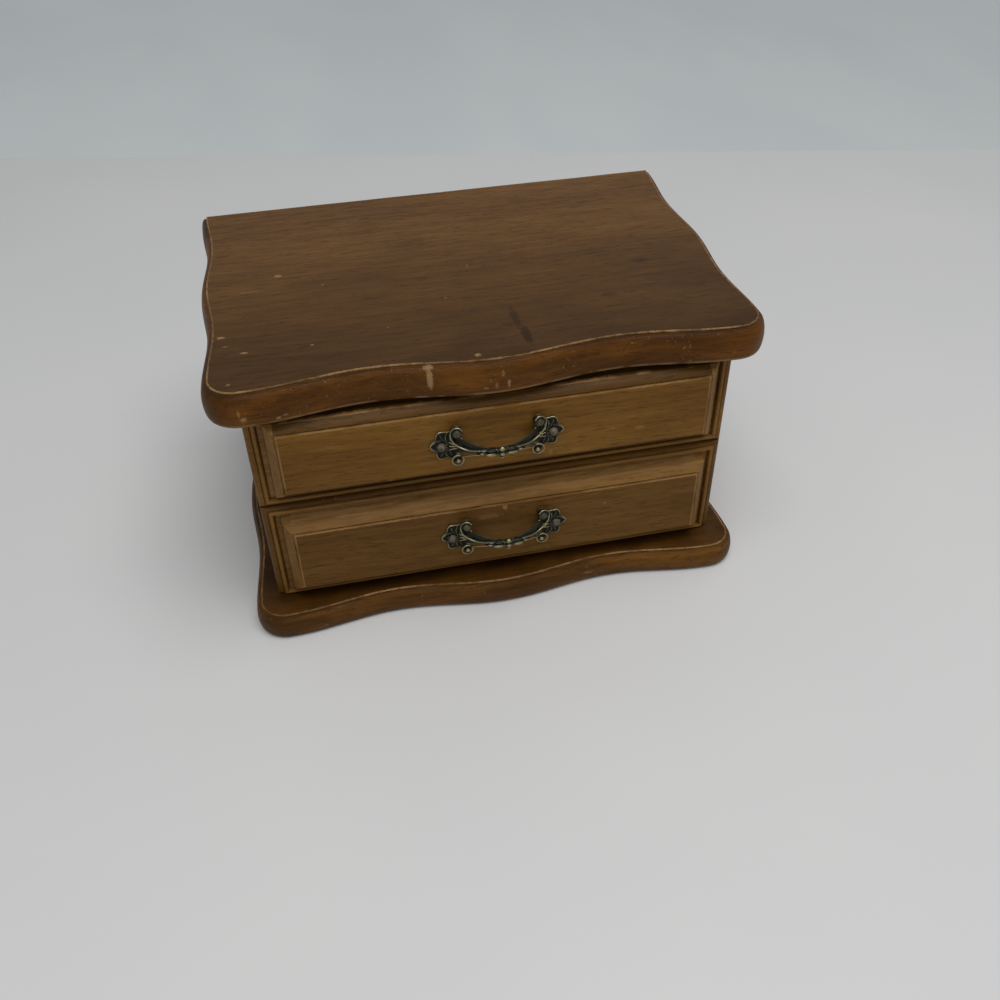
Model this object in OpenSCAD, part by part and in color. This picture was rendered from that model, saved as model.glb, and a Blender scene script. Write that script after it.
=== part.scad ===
// Vanity box: a moulded base board, a square case with a fixed upper front, a drawer behind
// the lower front, and a thick moulded lid with a mirror inside it, hinged at the back.
// Millimetres. +Z is up, the fronts face -Y, and the origin is on the table under the middle.

/* [Case] */
// Width of both moulded fronts, end to end
front_w = 204; // [185:1:230]
// Depth from the plane of the fronts' edges to the flush back
case_d = 147; // [130:1:180]
// Height of the side and back panels above the base board
case_h = 99.5; // [94:0.5:120]
// How far the fronts pass the side panels at each end
front_lap = 1; // [0.5:0.1:2]
// Thickness of the side panels
side_t = 9; // [7:0.5:12]
// Thickness of the back panel, which carries the hinges
back_t = 11; // [10.5:0.5:14]
// Depth of the rabbets in the side panels that hold the back panel
back_rabbet = 4; // [2:0.5:5]
// Thickness of the shelf between the drawer and the top compartment
shelf_t = 4; // [3:0.5:6]
// Depth of the grooves in the side panels that hold the shelf
shelf_groove = 3; // [2:0.5:4]

/* [Fronts] */
// Thickness of the boards behind the plane of their edges
front_back_t = 8; // [6:0.5:12]
// Height of the drawer's front
drawer_front_h = 50; // [46:0.5:56]
// Gap between the two fronts
front_gap = 0.6; // [0.4:0.1:1.2]
// Gap between the drawer's front and the base board
foot_gap = 1.1; // [0.8:0.1:2]
// Height that the raised fields stand out from the plane of the edges
field_out = 10; // [9.6:0.1:12]
// Width of the moulded margin at the ends of a field
margin_side = 12.2; // [11.6:0.1:14]
// Width of the moulded margin above and below a field
margin_full = 11.2; // [11:0.1:13]
// Height sawn off the margin at the foot of the drawer's front
drawer_front_trim = 2.8; // [0:0.1:3.5]
// Height sawn off the margin at the top of the fixed front
fixed_front_trim = 4.1; // [4.1:0.1:5]
// Radius of the rounded outer edges of the fronts
edge_r = 2.5; // [1.5:0.1:2.8]
// Radius of the bead that runs round each front
bead_r = 1; // [0.6:0.1:1.2]
// Distance from the field's edge to the middle of the bead
bead_at = 8.2; // [8:0.1:8.4]
// Depth of the channel between the bead and the step
channel_deep = 1.2; // [0.6:0.1:1.8]
// Distance from the field's edge to the foot of the step
step_at = 4.9; // [4.5:0.1:5.4]
// How far the step leans inwards over its height
step_lean = 1; // [0.5:0.1:1.4]
// Height of the step's arris above the plane of the edges
step_out = 6.1; // [5:0.1:6.5]
// Height of the bevel's inner end above the plane of the edges
bevel_out = 9.2; // [8.6:0.1:9.4]
// Width of the quirk cut round the field
quirk_w = 0.7; // [0.4:0.1:1]
// Depth of the quirk below the bevel's inner end
quirk_deep = 0.5; // [0.3:0.1:1]

/* [Base board] */
// Thickness of the felt under the base
felt_t = 1; // [0.5:0.1:2]
// Distance from the base's moulded edge to the felt
felt_inset = 9; // [5:1:20]
// Thickness of the base board
base_t = 11.5; // [10:0.5:16]
// How far the base's top face passes the fronts at each end, at the crests of its wavy edge
base_over = 8; // [5:0.5:16]
// How far the base's top face reaches in front of the plane of the fronts' edges
base_front = 16; // [14:0.5:20]
// How far the base's moulded edge swells past its top face
base_swell = 2.7; // [1.5:0.1:4]

/* [Lid] */
// Thickness of the lid board
lid_t = 14.5; // [12:0.5:18]
// How far the lid's top face passes the fronts at each end, at the crests of its wavy edge
lid_over = 9.5; // [5:0.5:16]
// How far the lid's top face reaches in front of the plane of the fronts' edges
lid_front = 8.5; // [6:0.5:14]
// How far the lid's moulded edge swells past its top face
lid_swell = 3.2; // [1.5:0.1:4]
// Gap between the closed lid and the panels under it
lid_gap = 0.3; // [0.2:0.1:0.5]
// Angle that the lid opens to
lid_open = 95; // [80:1:105]

/* [Wavy edges] */
// Depth of the hollows in the front edges
front_wave = 5.3; // [2:0.1:7]
// Depth of the hollows in the side edges
side_wave = 2.4; // [1:0.1:4]
// Radius of the front corners
corner_r = 11; // [8:0.5:16]
// Height of the quirk under the top arris
arris_h = 1.2; // [0.6:0.1:2]
// Width of the quirk's ledge
arris_w = 0.7; // [0.4:0.1:1.2]
// How far the swelling draws back at the underside
tuck = 0.9; // [0.3:0.1:1.3]

/* [Drawer] */
// Thickness of the drawer's sides and back
drawer_t = 6; // [5:0.5:8]
// Thickness of the drawer's bottom board
drawer_bottom_t = 3; // [2:0.5:4]
// Depth of the grooves and housings in the drawer's boards
drawer_groove = 3; // [2:0.5:3.5]
// Height of the drawer's bottom board above its lower edge
drawer_bottom_up = 3; // [2:0.5:5]
// Clearance at each side of the drawer
drawer_side_gap = 0.6; // [0.4:0.1:1.2]
// Clearance behind the drawer
drawer_back_gap = 2; // [1:0.5:10]
// Clearance above the drawer's back
drawer_top_gap = 1.8; // [1.5:0.1:2]
// Clearance over the runners and behind the drawer's front
slide_gap = 0.3; // [0.2:0.1:0.5]
// Thickness of the waxed strips that the drawer runs on
runner_t = 1.5; // [1:0.1:3]
// Width of the waxed strips
runner_w = 8; // [6:0.5:14]
// Length of the stop blocks under the shelf, and half their width
stop_l = 8; // [5:0.5:9]
// Height of the stop blocks
stop_h = 4; // [3.5:0.1:4.6]
// Clearance between the stop blocks and the tops of the drawer's sides
stop_gap = 1; // [0.6:0.1:2]
// Distance of the stop blocks behind the fixed front
stop_in = 3.7; // [1:0.1:20]
// Distance of the stop blocks from the middle
stop_at = 60; // [20:1:75]

/* [Linings] */
// Thickness of the velvet-covered card on the walls
lining_t = 1.5; // [1:0.1:2.5]
// Thickness of the velvet pad on the shelf and in the drawer
pad_t = 3; // [2:0.1:5]
// Bare wood above the wall lining of the top compartment
lining_drop = 9; // [8:0.5:16]
// Bare wood above the wall lining of the drawer
drawer_lining_drop = 3; // [2:0.5:8]
// Clearance round the linings and pads
lining_gap = 0.3; // [0.2:0.1:0.5]

/* [Mirror] */
// Distance of the mirror frame from the side panels
frame_side_gap = 4; // [2:0.5:30]
// Distance of the mirror frame from the fixed front and the back panel
frame_end_gap = 6; // [2:0.5:20]
// Thickness of the mirror glass
mirror_t = 3; // [2:0.5:4]
// Thickness of the card behind the glass
card_t = 1; // [0.5:0.1:1.5]
// Clearance round the glass in its pocket
mirror_gap = 0.5; // [0.3:0.1:1]
// Width of the frame strips
frame_strip_w = 9; // [6:0.5:9]
// Thickness of the frame strips
frame_strip_t = 4; // [3:0.5:5]
// How far the frame covers the glass
frame_lap = 3; // [2:0.5:4]
// Width of the slope on the frame's inner edges
frame_bevel = 2.5; // [1:0.5:3]

/* [Hinges] */
// Length of each hinge
hinge_l = 26; // [20:1:40]
// Distance from a hinge's middle to the end of the case
hinge_end = 39; // [25:1:60]
// Radius of the hinge knuckles
knuckle_r = 2; // [1.6:0.1:2.4]
// Radius of the hinge pins
hinge_pin_r = 0.8; // [0.6:0.1:1]
// Thickness of the hinge leaves
leaf_t = 1; // [0.8:0.1:1.4]
// Distance of the hinge line in front of the flush back
hinge_in = 4.2; // [3.8:0.1:4.5]
// Radius of the hinge screws
hinge_screw_r = 0.7; // [0.5:0.1:0.9]
// Length of the hinge screws
hinge_screw_l = 8; // [5:0.5:9]

/* [Pulls] */
// Distance between the two pins of a pull
pin_spacing = 47; // [44:0.5:50]
// How far a pull stands out from the field
pull_out = 12; // [10:0.5:16]
// Shift of the upper pull from the middle of its field
upper_pull_x = -1.7; // [-3:0.1:3]
// Shift of the lower pull from the middle of its field
lower_pull_x = 0.5; // [-3:0.1:3]
// Height of the lower pull above the middle of its field
lower_pull_up = 1.7; // [-2:0.1:3]
// Radius of the pins' shanks
pin_r = 0.75; // [0.5:0.05:1]
// Length of the pins behind the pulls
pin_l = 10; // [6:0.5:12]
// Radius of the pins' round heads
pin_head_r = 1.9; // [1.4:0.1:2.4]
// Thickness of the leaf plates
leaf_plate_t = 1.6; // [1:0.1:2.4]
// Radius of the scrolls
scroll_r = 2.5; // [2:0.1:3]
// Height of the scrolls above and below the pins
scroll_up = 7.3; // [6.5:0.1:8]
// Distance of the scrolls inside the pins
scroll_in = 6.5; // [6:0.1:7.5]

/* [Base screws] */
// Radius of the screws that hold the base
base_screw_r = 1.5; // [1:0.1:2]
// Length of the screws that hold the base
base_screw_l = 24; // [18:1:30]

/* [Hidden] */
$fn = 48;

// Colours of the finishes
WALNUT_DARK = "#4a2f22";
WALNUT = "#6b4526";
WALNUT_GOLD = "#7a5528";
PINE = "#c9a678";
BRASS = "#8f7a45";
STEEL = "#9a9a94";
VELVET = "#5c1624";
FELT = "#2c3a2c";
GLASS = "#cdd8dc";
CARD = "#8b8171";

// Heights
base_top = felt_t + base_t;
case_top = base_top + case_h;
lid_under = case_top + lid_gap;
lid_top = lid_under + lid_t;
drawer_front_z = base_top + foot_gap;
drawer_front_top = drawer_front_z + drawer_front_h;
fixed_front_z = drawer_front_top + front_gap;
fixed_front_top = case_top - lid_gap;
shelf_z = fixed_front_z;
shelf_top = shelf_z + shelf_t;
drawer_z = base_top + runner_t + slide_gap;
drawer_side_top = shelf_z - stop_h - stop_gap;
drawer_side_h = drawer_side_top - drawer_z;
drawer_back_top = shelf_z - drawer_top_gap;
drawer_bottom_z = drawer_z + drawer_bottom_up;
drawer_bottom_top = drawer_bottom_z + drawer_bottom_t;
margin_foot = margin_full - drawer_front_trim;
margin_head = margin_full - fixed_front_trim;
drawer_field = [drawer_front_z + margin_foot, drawer_front_top - margin_full];
fixed_field = [fixed_front_z + margin_full, fixed_front_top - margin_head];

// Widths, from the middle
front_half = front_w / 2;
case_half = front_half - front_lap;
inner_half = case_half - side_t;
field_half = front_half - margin_side;
drawer_half = inner_half - drawer_side_gap;
drawer_inner_half = drawer_half - drawer_t;
hinge_at = case_half - hinge_end;
base_half_w = front_half + base_over;
lid_half_w = front_half + lid_over;

// Depths, from the plane of the fronts' edges towards the back
back_inner = case_d - back_t;
drawer_front_back = front_back_t - slide_gap;
drawer_end = back_inner - drawer_back_gap;
drawer_back_y = drawer_end - drawer_t;
stop_y = front_back_t + stop_in + stop_l;
mirror_mid = (front_back_t + back_inner) / 2;
hinge_y = case_d - hinge_in;
hinge_z = case_top + lid_gap / 2;

// The part's own frame
front_reach = max(field_out + pull_out, base_front + base_swell, lid_front + lid_swell);
face_y = (front_reach - case_d) / 2;

// Fits
cut = 1;
bore_gap = 0.05;
knuckle_gap = 0.15;
leaf_end_gap = 0.3;
fillet_steps = 6;
wave_steps = 16;
ovolo_steps = 4;

// ---- shared shapes ----

// Puts what is measured from the plane of the fronts' edges into the part's own frame
module in_case() translate([0, face_y, 0]) children();

// A board between two corners
module board(low, high) translate(low) cube(high - low);

// Extrudes an outline drawn in Y and Z along X, both ways from the middle
module along_x(half) rotate([90, 0, 90]) translate([0, 0, -half]) linear_extrude(2 * half) children();

// Extrudes an outline drawn in X and Z towards the front
module towards_front(depth) rotate([90, 0, 0]) linear_extrude(depth) children();

// A board whose four front edges all have one section, given as [inset, forward] pairs
module edged_board(half, z0, z1, back, section) {
    n = len(section) - 1;
    plan = concat([[-half, back]], [for (p = section) [p[0] - half, -p[1]]],
                  [for (i = [n:-1:0]) [half - section[i][0], -section[i][1]]], [[half, back]]);
    side = concat([[back, z0]], [for (p = section) [-p[1], z0 + p[0]]],
                  [for (i = [n:-1:0]) [-section[i][1], z1 - section[i][0]]], [[back, z1]]);
    intersection() {
        translate([0, 0, z0]) linear_extrude(z1 - z0) polygon(plan);
        along_x(half) polygon(side);
    }
}

// Rectangular ring round a field, between two distances from its edges
module field_ring(field, near, far, y_front, y_back) {
    difference() {
        board([-field_half - far, y_front, field[0] - far], [field_half + far, y_back, field[1] + far]);
        board([-field_half - near, y_front - cut, field[0] - near],
              [field_half + near, y_back + cut, field[1] + near]);
    }
}

// A moulded front with a raised field, sawn from a moulded blank at the heights z0 and z1
module moulded_front(field, z0, z1, back) {
    rounding = [for (i = [0:fillet_steps]) let (a = 90 * i / fillet_steps)
                edge_r * [1 - cos(a), sin(a)]];
    step = [[0, edge_r - channel_deep], [step_lean, step_out], [step_at - quirk_w, bevel_out]];
    bead_x = field_half + bead_at;
    bead_z = [field[0] - bead_at, field[1] + bead_at];
    intersection() {
        board([-front_half, -field_out, z0], [front_half, back, z1]);
        union() {
            difference() {
                edged_board(front_half, field[0] - margin_full, field[1] + margin_full, back, rounding);
                field_ring(field, 0, bead_at - bead_r, -field_out, channel_deep - edge_r);
            }
            for (s = [-1, 1]) {
                translate([s * bead_x, -edge_r, bead_z[0]]) cylinder(r = bead_r, h = bead_z[1] - bead_z[0]);
            }
            for (z = bead_z) {
                translate([-bead_x, -edge_r, z]) rotate([0, 90, 0]) cylinder(r = bead_r, h = 2 * bead_x);
                for (s = [-1, 1]) translate([s * bead_x, -edge_r, z]) sphere(r = bead_r);
            }
            difference() {
                edged_board(field_half + step_at, field[0] - step_at, field[1] + step_at, 0, step);
                field_ring(field, 0, quirk_w, -field_out, quirk_deep - bevel_out);
            }
            board([-field_half, -field_out, field[0]], [field_half, 0, field[1]]);
        }
    }
}

// Wavy outline of the base and the lid: waved sides and front, round corners, and ends that
// run straight on past the back, where the board is sawn off
function wave(u, depth) = depth * (1 - cos(360 * u)) / 2;
function right_half(half, front, off) =
    let (x0 = half - corner_r, y0 = corner_r - front, r = corner_r + off)
    concat(
        [[half + off, case_d + 2 * cut]],
        [for (i = [0:2 * wave_steps]) let (u = i / (2 * wave_steps))
            [half + off - wave(2 * u, side_wave), case_d + (y0 - case_d) * u]],
        [for (i = [1:fillet_steps - 1]) let (a = -90 * i / fillet_steps)
            [x0 + r * cos(a), y0 + r * sin(a)]],
        [for (i = [0:wave_steps]) let (u = i / wave_steps)
            [x0 * (1 - u), wave(u, front_wave) - front - off]]
    );
function outline(half, front, off) =
    let (right = right_half(half, front, off), n = len(right))
    concat(right, [for (i = [n - 2:-1:0]) [-right[i][0], right[i][1]]]);

// Section of the moulded edge as [swelling, height] pairs, from just below the underside up
// to just above the top face, which are both planed flat
crest_share = 0.38;
under_angle = 75;
ledge_rise = 0.15;
function edge_section(thick, swell) =
    let (crest = thick * crest_share, rise = thick - arris_h - crest)
    concat(
        [for (i = [ovolo_steps:-1:1]) let (a = 90 * i / ovolo_steps)
            [swell - tuck * (1 - cos(a)), crest * (1 - sin(a) / sin(under_angle))]],
        [for (i = [0:ovolo_steps]) let (a = 90 * i / ovolo_steps)
            [arris_w + (swell - arris_w) * cos(a), crest + rise * sin(a)]],
        [[0, thick - arris_h + ledge_rise], [0, thick + cut]]
    );

// A board with the wavy outline and the moulded edge, its underside at z
module wavy_board(half, front, z, thick, swell) {
    section = edge_section(thick, swell);
    rings = [for (s = section) outline(half, front, s[0])];
    n = len(rings[0]);
    m = len(rings);
    points = [for (j = [0:m - 1]) for (p = rings[j]) [p[0], p[1], z + section[j][1]]];
    sides = [for (j = [0:m - 2]) for (i = [0:n - 1]) let (k = (i + 1) % n)
             [j * n + i, j * n + k, (j + 1) * n + k, (j + 1) * n + i]];
    caps = [[for (i = [n - 1:-1:0]) i], [for (i = [0:n - 1]) (m - 1) * n + i]];
    reach = half + swell + cut;
    intersection() {
        polyhedron(points, concat(sides, caps), convexity = 6);
        board([-reach, -front - swell - cut, z], [reach, case_d, z + thick]);
    }
}

// Wedge cut away behind the hinge line over the width of the case: up into the lid, or down
// into the case
module stop_chamfer(up) {
    rise = (hinge_in + cut) * tan(lid_open / 2);
    z = hinge_z + up * lid_gap / 2;
    along_x(case_half + cut)
        polygon([[hinge_y, z], [case_d + cut, z + up * rise], [case_d + cut, z - up * cut],
                 [hinge_y, z - up * cut]]);
}

// Countersunk screw, head up at the origin
module screw(r, length) {
    translate([0, 0, -length]) cylinder(r = r, h = length);
    translate([0, 0, -r]) cylinder(r1 = r, r2 = 2 * r, h = r);
}

// ---- base ----

module base_felt() {
    half = base_half_w - side_wave - felt_inset;
    low = front_wave + felt_inset - base_front;
    color(FELT) in_case() board([-half, low, 0], [half, case_d - felt_inset, felt_t]);
}

base_screw_places = [for (s = [-1, 1]) for (y = [0.2, 0.5, 0.8])
                     [s * (inner_half + side_t / 2), front_back_t + y * (case_d - front_back_t)]];

module base_screws() {
    color(STEEL) in_case() for (p = base_screw_places)
        translate([p[0], p[1], felt_t]) rotate([180, 0, 0]) screw(base_screw_r, base_screw_l);
}

module base_screw_holes() for (p = base_screw_places)
    translate([p[0], p[1], felt_t]) rotate([180, 0, 0])
        screw(base_screw_r + bore_gap, base_screw_l + bore_gap);

module base_board() {
    color(WALNUT_DARK) in_case() difference() {
        wavy_board(base_half_w, base_front, felt_t, base_t, base_swell);
        base_screw_holes();
    }
}

// ---- case ----

module side_panel(s) {
    color(WALNUT) in_case() difference() {
        board([min(s * inner_half, s * case_half), front_back_t, base_top],
              [max(s * inner_half, s * case_half), case_d, case_top]);
        board([-inner_half - shelf_groove, 0, shelf_z], [inner_half + shelf_groove, back_inner, shelf_top]);
        board([-inner_half - back_rabbet, back_inner, 0], [inner_half + back_rabbet, case_d + cut, lid_top]);
        stop_chamfer(-1);
        base_screw_holes();
    }
}

module back_panel() {
    color(WALNUT) in_case() difference() {
        board([-inner_half - back_rabbet, back_inner, base_top],
              [inner_half + back_rabbet, case_d, case_top]);
        stop_chamfer(-1);
        hinge_mortises(-1);
        hinge_screw_set(-1, bore_gap);
    }
}

module fixed_front() {
    color(WALNUT_GOLD) in_case() difference() {
        moulded_front(fixed_field, fixed_front_z, fixed_front_top, front_back_t);
        translate([upper_pull_x, -field_out, upper_pull_z]) pin_holes();
    }
}

module compartment_shelf() {
    color(PINE) in_case()
        board([-inner_half - shelf_groove, front_back_t, shelf_z],
              [inner_half + shelf_groove, back_inner, shelf_top]);
}

module drawer_runner(s) {
    outer = s * inner_half;
    inner = s * (inner_half - runner_w);
    color(PINE) in_case()
        board([min(outer, inner), front_back_t, base_top], [max(outer, inner), back_inner, base_top + runner_t]);
}

module drawer_stops() {
    color(PINE) in_case() for (s = [-1, 1])
        board([s * stop_at - stop_l, stop_y - stop_l, shelf_z - stop_h],
              [s * stop_at + stop_l, stop_y, shelf_z]);
}

// Four cards round the walls of a box that is open at the top
module wall_lining(half, y0, y1, z0, z1) {
    for (s = [-1, 1]) {
        board([min(s * half, s * (half - lining_t)), y0, z0], [max(s * half, s * (half - lining_t)), y1, z1]);
    }
    board([lining_t - half, y0, z0], [half - lining_t, y0 + lining_t, z1]);
    board([lining_t - half, y1 - lining_t, z0], [half - lining_t, y1, z1]);
}

// Velvet pad with a low crown, lying between the wall linings
module floor_pad(half, y0, y1, z) {
    h = half - lining_t - lining_gap;
    low = y0 + lining_t + lining_gap;
    high = y1 - lining_t - lining_gap;
    slope = pad_t * 2;
    edge = [[0, 0], [0, pad_t * 0.4], [slope * 0.4, pad_t * 0.8], [slope, pad_t]];
    translate([0, 0, z]) intersection() {
        translate([0, high, 0]) towards_front(high - low)
            polygon(concat([for (p = edge) [p[0] - h, p[1]]], [for (i = [3:-1:0]) [h - edge[i][0], edge[i][1]]]));
        along_x(h)
            polygon(concat([for (p = edge) [low + p[0], p[1]]],
                           [for (i = [3:-1:0]) [high - edge[i][0], edge[i][1]]]));
    }
}

module compartment_lining() {
    color(VELVET) in_case()
        wall_lining(inner_half, front_back_t, back_inner, shelf_top, case_top - lining_drop);
}

module compartment_pad() {
    color(VELVET) in_case() floor_pad(inner_half, front_back_t, back_inner, shelf_top);
}

// ---- drawer ----

module drawer_front() {
    color(WALNUT_GOLD) in_case() difference() {
        moulded_front(drawer_field, drawer_front_z, drawer_front_top, drawer_front_back);
        for (s = [-1, 1])
            translate([s * (drawer_half - drawer_t / 2), drawer_front_back, drawer_z + drawer_side_h / 2])
                cube([drawer_t, 2 * drawer_groove, drawer_side_h], center = true);
        drawer_bottom_slab();
        translate([lower_pull_x, -field_out, lower_pull_z]) pin_holes();
    }
}

module drawer_bottom_slab() {
    board([drawer_groove - drawer_t - drawer_inner_half, drawer_front_back - drawer_groove, drawer_bottom_z],
          [drawer_inner_half + drawer_t - drawer_groove, drawer_back_y + drawer_groove, drawer_bottom_top]);
}

module drawer_side(s) {
    outer = s * drawer_half;
    inner = s * drawer_inner_half;
    color(PINE) in_case() difference() {
        board([min(outer, inner), drawer_front_back - drawer_groove, drawer_z],
              [max(outer, inner), drawer_end, drawer_side_top]);
        drawer_bottom_slab();
    }
}

module drawer_back() {
    color(PINE) in_case() difference() {
        board([-drawer_inner_half, drawer_back_y, drawer_z], [drawer_inner_half, drawer_end, drawer_back_top]);
        drawer_bottom_slab();
    }
}

module drawer_bottom() color(PINE) in_case() drawer_bottom_slab();

module drawer_lining() {
    color(VELVET) in_case()
        wall_lining(drawer_inner_half, drawer_front_back, drawer_back_y, drawer_bottom_top,
                    drawer_side_top - drawer_lining_drop);
}

module drawer_pad() {
    color(VELVET) in_case() floor_pad(drawer_inner_half, drawer_front_back, drawer_back_y, drawer_bottom_top);
}

// ---- lid and mirror ----

mirror_z = lid_under;
mirror_top = mirror_z + mirror_t;
frame_half_w = inner_half - frame_side_gap;
frame_half_l = (back_inner - front_back_t) / 2 - frame_end_gap;
mirror_w = 2 * (frame_half_w - frame_strip_w + frame_lap);
mirror_l = 2 * (frame_half_l - frame_strip_w + frame_lap);

module lid_board() {
    color(WALNUT_DARK) in_case() difference() {
        wavy_board(lid_half_w, lid_front, lid_under, lid_t, lid_swell);
        translate([0, mirror_mid, mirror_z + (mirror_t + card_t) / 2])
            cube([mirror_w + 2 * mirror_gap, mirror_l + 2 * mirror_gap, mirror_t + card_t], center = true);
        stop_chamfer(1);
        hinge_mortises(1);
        hinge_screw_set(1, bore_gap);
    }
}

module mirror_card() {
    color(CARD) in_case() translate([0, mirror_mid, mirror_top + card_t / 2])
        cube([mirror_w, mirror_l, card_t], center = true);
}

module mirror_glass() {
    color(GLASS) in_case() translate([0, mirror_mid, mirror_z + mirror_t / 2])
        cube([mirror_w, mirror_l, mirror_t], center = true);
}

// One mitred strip of the mirror frame, its outer edge half_len long each way at distance out
module frame_strip(half_len, out) {
    section = [[out, 0], [out - frame_strip_w, 0], [out - frame_strip_w, -frame_strip_t * 0.4],
               [out - frame_strip_w + frame_bevel, -frame_strip_t], [out, -frame_strip_t]];
    intersection() {
        along_x(half_len) polygon(section);
        translate([0, 0, -frame_strip_t]) linear_extrude(frame_strip_t)
            polygon([[-half_len, out], [half_len, out],
                     [half_len - frame_strip_w, out - frame_strip_w],
                     [frame_strip_w - half_len, out - frame_strip_w]]);
    }
}

module mirror_frame() {
    color(WALNUT) in_case() translate([0, mirror_mid, mirror_z]) for (a = [0, 180]) {
        rotate([0, 0, a]) frame_strip(frame_half_w, frame_half_l);
        rotate([0, 0, a + 90]) frame_strip(frame_half_l, frame_half_w);
    }
}

// ---- hinges ----

leaf_front = back_inner + 0.6;
leaf_edge = hinge_y - knuckle_r - leaf_end_gap;
knuckle_l = (hinge_l - 2 * leaf_end_gap) / 3;
hinge_screw_y = (leaf_front + leaf_edge) / 2;
hinge_screw_x = hinge_l / 3;

// Knuckles of one leaf: the two outer ones on the case, the middle one on the lid
function knuckle_starts(up) = up < 0 ? [-hinge_l / 2, hinge_l / 2 - knuckle_l] : [-knuckle_l / 2];

// Room for both hinges: a shallow mortise for the leaves and a round groove for the knuckles
module hinge_mortises(up) for (s = [-1, 1]) translate([s * hinge_at, 0, 0]) {
    face = hinge_z + up * lid_gap / 2;
    z0 = min(face, face + up * leaf_t);
    board([-hinge_l / 2, back_inner - cut, z0], [hinge_l / 2, hinge_y, z0 + leaf_t]);
    translate([0, hinge_y, hinge_z]) rotate([0, 90, 0])
        cylinder(r = knuckle_r + knuckle_gap, h = hinge_l + 2 * leaf_end_gap, center = true);
}

module hinge_leaf(s, up) {
    face = hinge_z + up * lid_gap / 2;
    z0 = min(face, face + up * leaf_t);
    color(BRASS) in_case() translate([s * hinge_at, 0, 0]) difference() {
        union() {
            board([-hinge_l / 2, leaf_front, z0], [hinge_l / 2, leaf_edge, z0 + leaf_t]);
            for (x = knuckle_starts(up)) {
                board([x, leaf_edge, z0], [x + knuckle_l, hinge_y, z0 + leaf_t]);
                translate([x, hinge_y, hinge_z]) rotate([0, 90, 0]) cylinder(r = knuckle_r, h = knuckle_l);
            }
        }
        translate([0, hinge_y, hinge_z]) rotate([0, 90, 0])
            cylinder(r = hinge_pin_r + bore_gap, h = hinge_l + cut, center = true);
        for (x = [-1, 1]) translate([x * hinge_screw_x, hinge_screw_y, face]) rotate([up < 0 ? 0 : 180, 0, 0])
            screw(hinge_screw_r + bore_gap, hinge_screw_l + bore_gap);
    }
}

module hinge_pin(s) {
    color(STEEL) in_case() translate([s * hinge_at, hinge_y, hinge_z]) rotate([0, 90, 0])
        cylinder(r = hinge_pin_r, h = hinge_l, center = true);
}

// The four screws of the case leaves or of the lid leaves, or their holes with a gap
module hinge_screw_set(up, gap) {
    face = hinge_z + up * lid_gap / 2;
    for (s = [-1, 1]) for (x = [-1, 1])
        translate([s * hinge_at + x * hinge_screw_x, hinge_screw_y, face]) rotate([up < 0 ? 0 : 180, 0, 0])
            screw(hinge_screw_r + gap, hinge_screw_l + gap);
}

module hinge_case_screws() color(BRASS) in_case() hinge_screw_set(-1, 0);
module hinge_lid_screws() color(BRASS) in_case() hinge_screw_set(1, 0);

// ---- pulls ----

upper_pull_z = (fixed_field[0] + fixed_field[1]) / 2;
lower_pull_z = (drawer_field[0] + drawer_field[1]) / 2 + lower_pull_up;
flower_r = 2.4;
strap_t = 2;
strap_half_h = 2;
strap_out = pull_out - flower_r;
scroll_x = pin_spacing / 2 - scroll_in;
strap_rise = strap_out - leaf_plate_t;
strap_r = (pow(scroll_x + 1, 2) + pow(strap_rise, 2)) / (2 * strap_rise);
leaf_x = scroll_x + 2;
leaf_r = 9.5;
leaf_points = 44;
pin_side_gap = 0.05;
// Balls of the flower: distance from the middle, set back, height and radius
flower_balls = [[0, 0, 0.4, flower_r], [3.9, 0, -0.4, 1.8], [6.6, 0.6, -0.2, 1.2], [0, 0, -2.6, 1.3]];

// Half height of the strap at a distance from the middle
function strap_half(x) = strap_half_h + (scroll_up - strap_half_h) * pow(abs(x) / (scroll_x + 1), 3);

// Outline of a leaf with a tip, two lobes each side and hollows between them
function leaf_edge_r(a) = leaf_r * cos(a / 2.6) * (0.86 + 0.14 * cos(7.2 * a));

module pull() {
    strap_end = scroll_x + 1;
    xs = [for (i = [-10:10]) strap_end * i / 10];
    difference() {
        union() {
            intersection() {
                translate([0, strap_r - strap_out, -scroll_up]) difference() {
                    cylinder(r = strap_r, h = 2 * scroll_up, $fn = 96);
                    translate([0, 0, -cut])
                        cylinder(r = strap_r - strap_t, h = 2 * scroll_up + 2 * cut, $fn = 96);
                }
                towards_front(strap_out) polygon(concat([for (x = xs) [x, strap_half(x)]],
                                                        [for (x = xs) [-x, -strap_half(x)]]));
            }
            for (s = [-1, 1]) {
                towards_front(leaf_plate_t) polygon([for (i = [0:leaf_points]) let (a = 210 * (i / leaf_points) - 105)
                    [s * (leaf_x + leaf_edge_r(a) * cos(a)), leaf_edge_r(a) * sin(a)]]);
                for (z = [-1, 1]) translate([s * scroll_x, -scroll_r, z * scroll_up]) sphere(r = scroll_r);
            }
            for (s = [-1, 1]) for (b = flower_balls)
                translate([s * b[0], b[1] - strap_out, b[2]]) sphere(r = b[3]);
        }
        pin_holes();
    }
}

pin_places = [-pin_spacing / 2, pin_spacing / 2];

module pin_holes() for (x = pin_places) translate([x, pin_l, 0]) rotate([90, 0, 0])
    cylinder(r = pin_r + pin_side_gap, h = pin_l + leaf_plate_t + cut);

module pins() for (x = pin_places) translate([x, 0, 0]) {
    translate([0, pin_l - bore_gap, 0]) rotate([90, 0, 0]) cylinder(r = pin_r, h = pin_l + leaf_plate_t);
    translate([0, -leaf_plate_t, 0]) intersection() {
        sphere(r = pin_head_r);
        translate([0, -pin_head_r / 2, 0]) cube([2 * pin_head_r, pin_head_r, 2 * pin_head_r], center = true);
    }
}

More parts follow.
